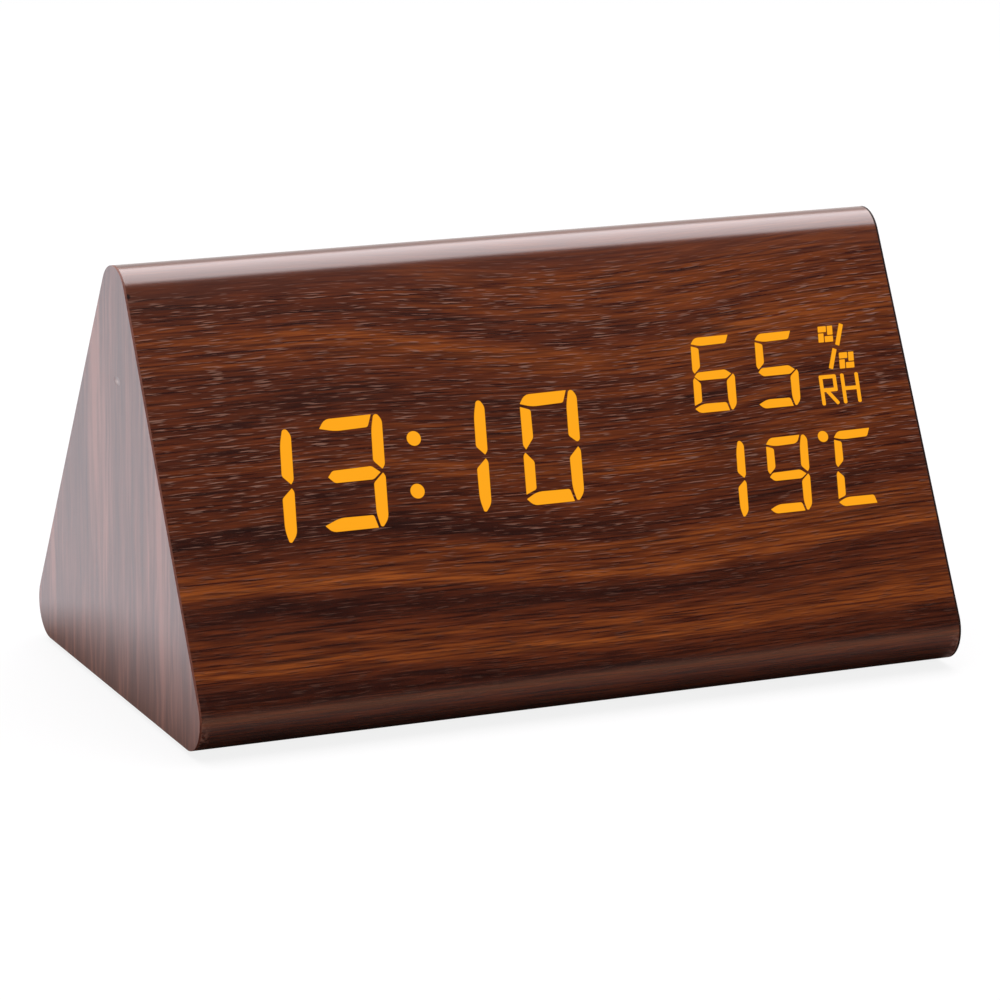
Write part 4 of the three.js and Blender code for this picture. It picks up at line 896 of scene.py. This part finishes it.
# To the camera the floor is white with a faint shadow. To the clock it is a grey card with a painted shadow,
# darker close to the clock and in front of it, so that the lower parts aren't lit up from below.
sweep, tree, shader = new_material("white_floor", Roughness=0.9)
shader.inputs["Base Color"].default_value = linear("#E6E6E6")
output = tree.nodes["Material Output"]
paths = add(tree, "LightPath")
white = add(tree, "Emission", {"Strength": 1.0})
pale = add(tree, "MixShader", {0: 0.85, 1: shader.outputs[0], 2: white.outputs[0]})
away = add(tree, "VectorMath", {0: add(tree, "TexCoord").outputs["Object"]}, operation="ABSOLUTE")
past = add(tree, "VectorMath", {0: away.outputs[0], 1: card_half}, operation="SUBTRACT")
outside = add(tree, "VectorMath", {0: past.outputs[0], 1: (0, 0, 0)}, operation="MAXIMUM")
gap = add(tree, "VectorMath", {0: outside.outputs[0]}, operation="LENGTH")
# The painted shadow: dark within a few centimetres of the clock, and darkest in front of it
beside = add(tree, "MapRange", {"Value": gap.outputs["Value"], "From Min": 2 * mm, "From Max": 22 * mm})
across = add(tree, "SeparateXYZ", {0: add(tree, "TexCoord").outputs["Object"]})
in_front = add(tree, "MapRange", {"Value": across.outputs["Y"], "From Min": -30 * mm, "From Max": -60 * mm})
painted_shadow_tone = add(tree, "Mix", {"Factor": in_front.outputs[0], 6: linear("#6E5C57"), 7: linear("#120E0D")},
           data_type="RGBA")
farther = add(tree, "Mix", {"Factor": in_front.outputs[0], 6: linear("#BEBDC1"), 7: linear("#A87C66")},
              data_type="RGBA")
grey = add(tree, "Mix", {"Factor": beside.outputs[0], 6: painted_shadow_tone.outputs[2], 7: farther.outputs[2]},
           data_type="RGBA")
card = add(tree, "BsdfDiffuse", {"Color": grey.outputs[2]})
seen = add(tree, "MixShader", {0: paths.outputs["Is Camera Ray"], 1: card.outputs[0], 2: pale.outputs[0]})
tree.links.new(seen.outputs[0], output.inputs["Surface"])
floor.materials.append(sweep)

# The room: white to the camera, and in reflections brighter towards the back and dimmer overhead
world = bpy.data.worlds.new("studio")
world.use_nodes = True
bpy.context.scene.world = world
tree = world.node_tree
background = tree.nodes["Background"]
paths = add(tree, "LightPath")
direction = add(tree, "SeparateXYZ", {0: add(tree, "TexCoord").outputs["Generated"]})
low = add(tree, "MapRange", {"Value": direction.outputs["Y"], "From Min": -0.2, "From Max": 0.4,
                             "To Min": 0.09, "To Max": 0.95})
high = add(tree, "MapRange", {"Value": direction.outputs["Y"], "From Min": -0.2, "From Max": 0.4,
                              "To Min": 0.006, "To Max": 0.7})
risen = add(tree, "MapRange", {"Value": direction.outputs["Z"], "From Min": 0.1, "From Max": 0.35})
studio = add(tree, "Mix", {0: risen.outputs[0], 2: low.outputs[0], 3: high.outputs[0]}, data_type="FLOAT")
dim = add(tree, "Mix", {0: paths.outputs["Is Glossy Ray"], 2: 0.5, 3: studio.outputs[0]}, data_type="FLOAT")
level = add(tree, "Mix", {0: paths.outputs["Is Camera Ray"], 2: dim.outputs[0], 3: 1.0}, data_type="FLOAT")
tree.links.new(level.outputs[0], background.inputs["Strength"])
background.inputs["Color"].default_value = (1, 1, 1, 1)

softbox = bpy.data.lights.new("softbox", "AREA")
softbox.shape = "RECTANGLE"
softbox.size, softbox.size_y = 1.3, 1.16
softbox.energy = softbox_level * math.pi * softbox.size * softbox.size_y
softbox.color = (1.0, 0.955, 0.99)
softbox_object = bpy.data.objects.new("softbox", softbox)
softbox_object.location = (0.1, 0.17, 0.9)
bpy.context.scene.collection.objects.link(softbox_object)

camera = bpy.data.cameras.new("camera")
camera.sensor_width = 36
camera.lens = 168.1375
camera.clip_start = 0.05
camera_object = bpy.data.objects.new("camera", camera)
bpy.context.scene.collection.objects.link(camera_object)
# Its heading, tilt and roll
camera_object.matrix_world = (
    Matrix.Translation((-0.34647, -0.75775, 0.25401))
    @ Matrix.Rotation(math.radians(-24.596), 4, "Z")
    @ Matrix.Rotation(math.radians(74.911), 4, "X")
    @ Matrix.Rotation(math.radians(0.844), 4, "Z"))
bpy.context.scene.camera = camera_object
bpy.context.scene.view_settings.view_transform = "Standard"
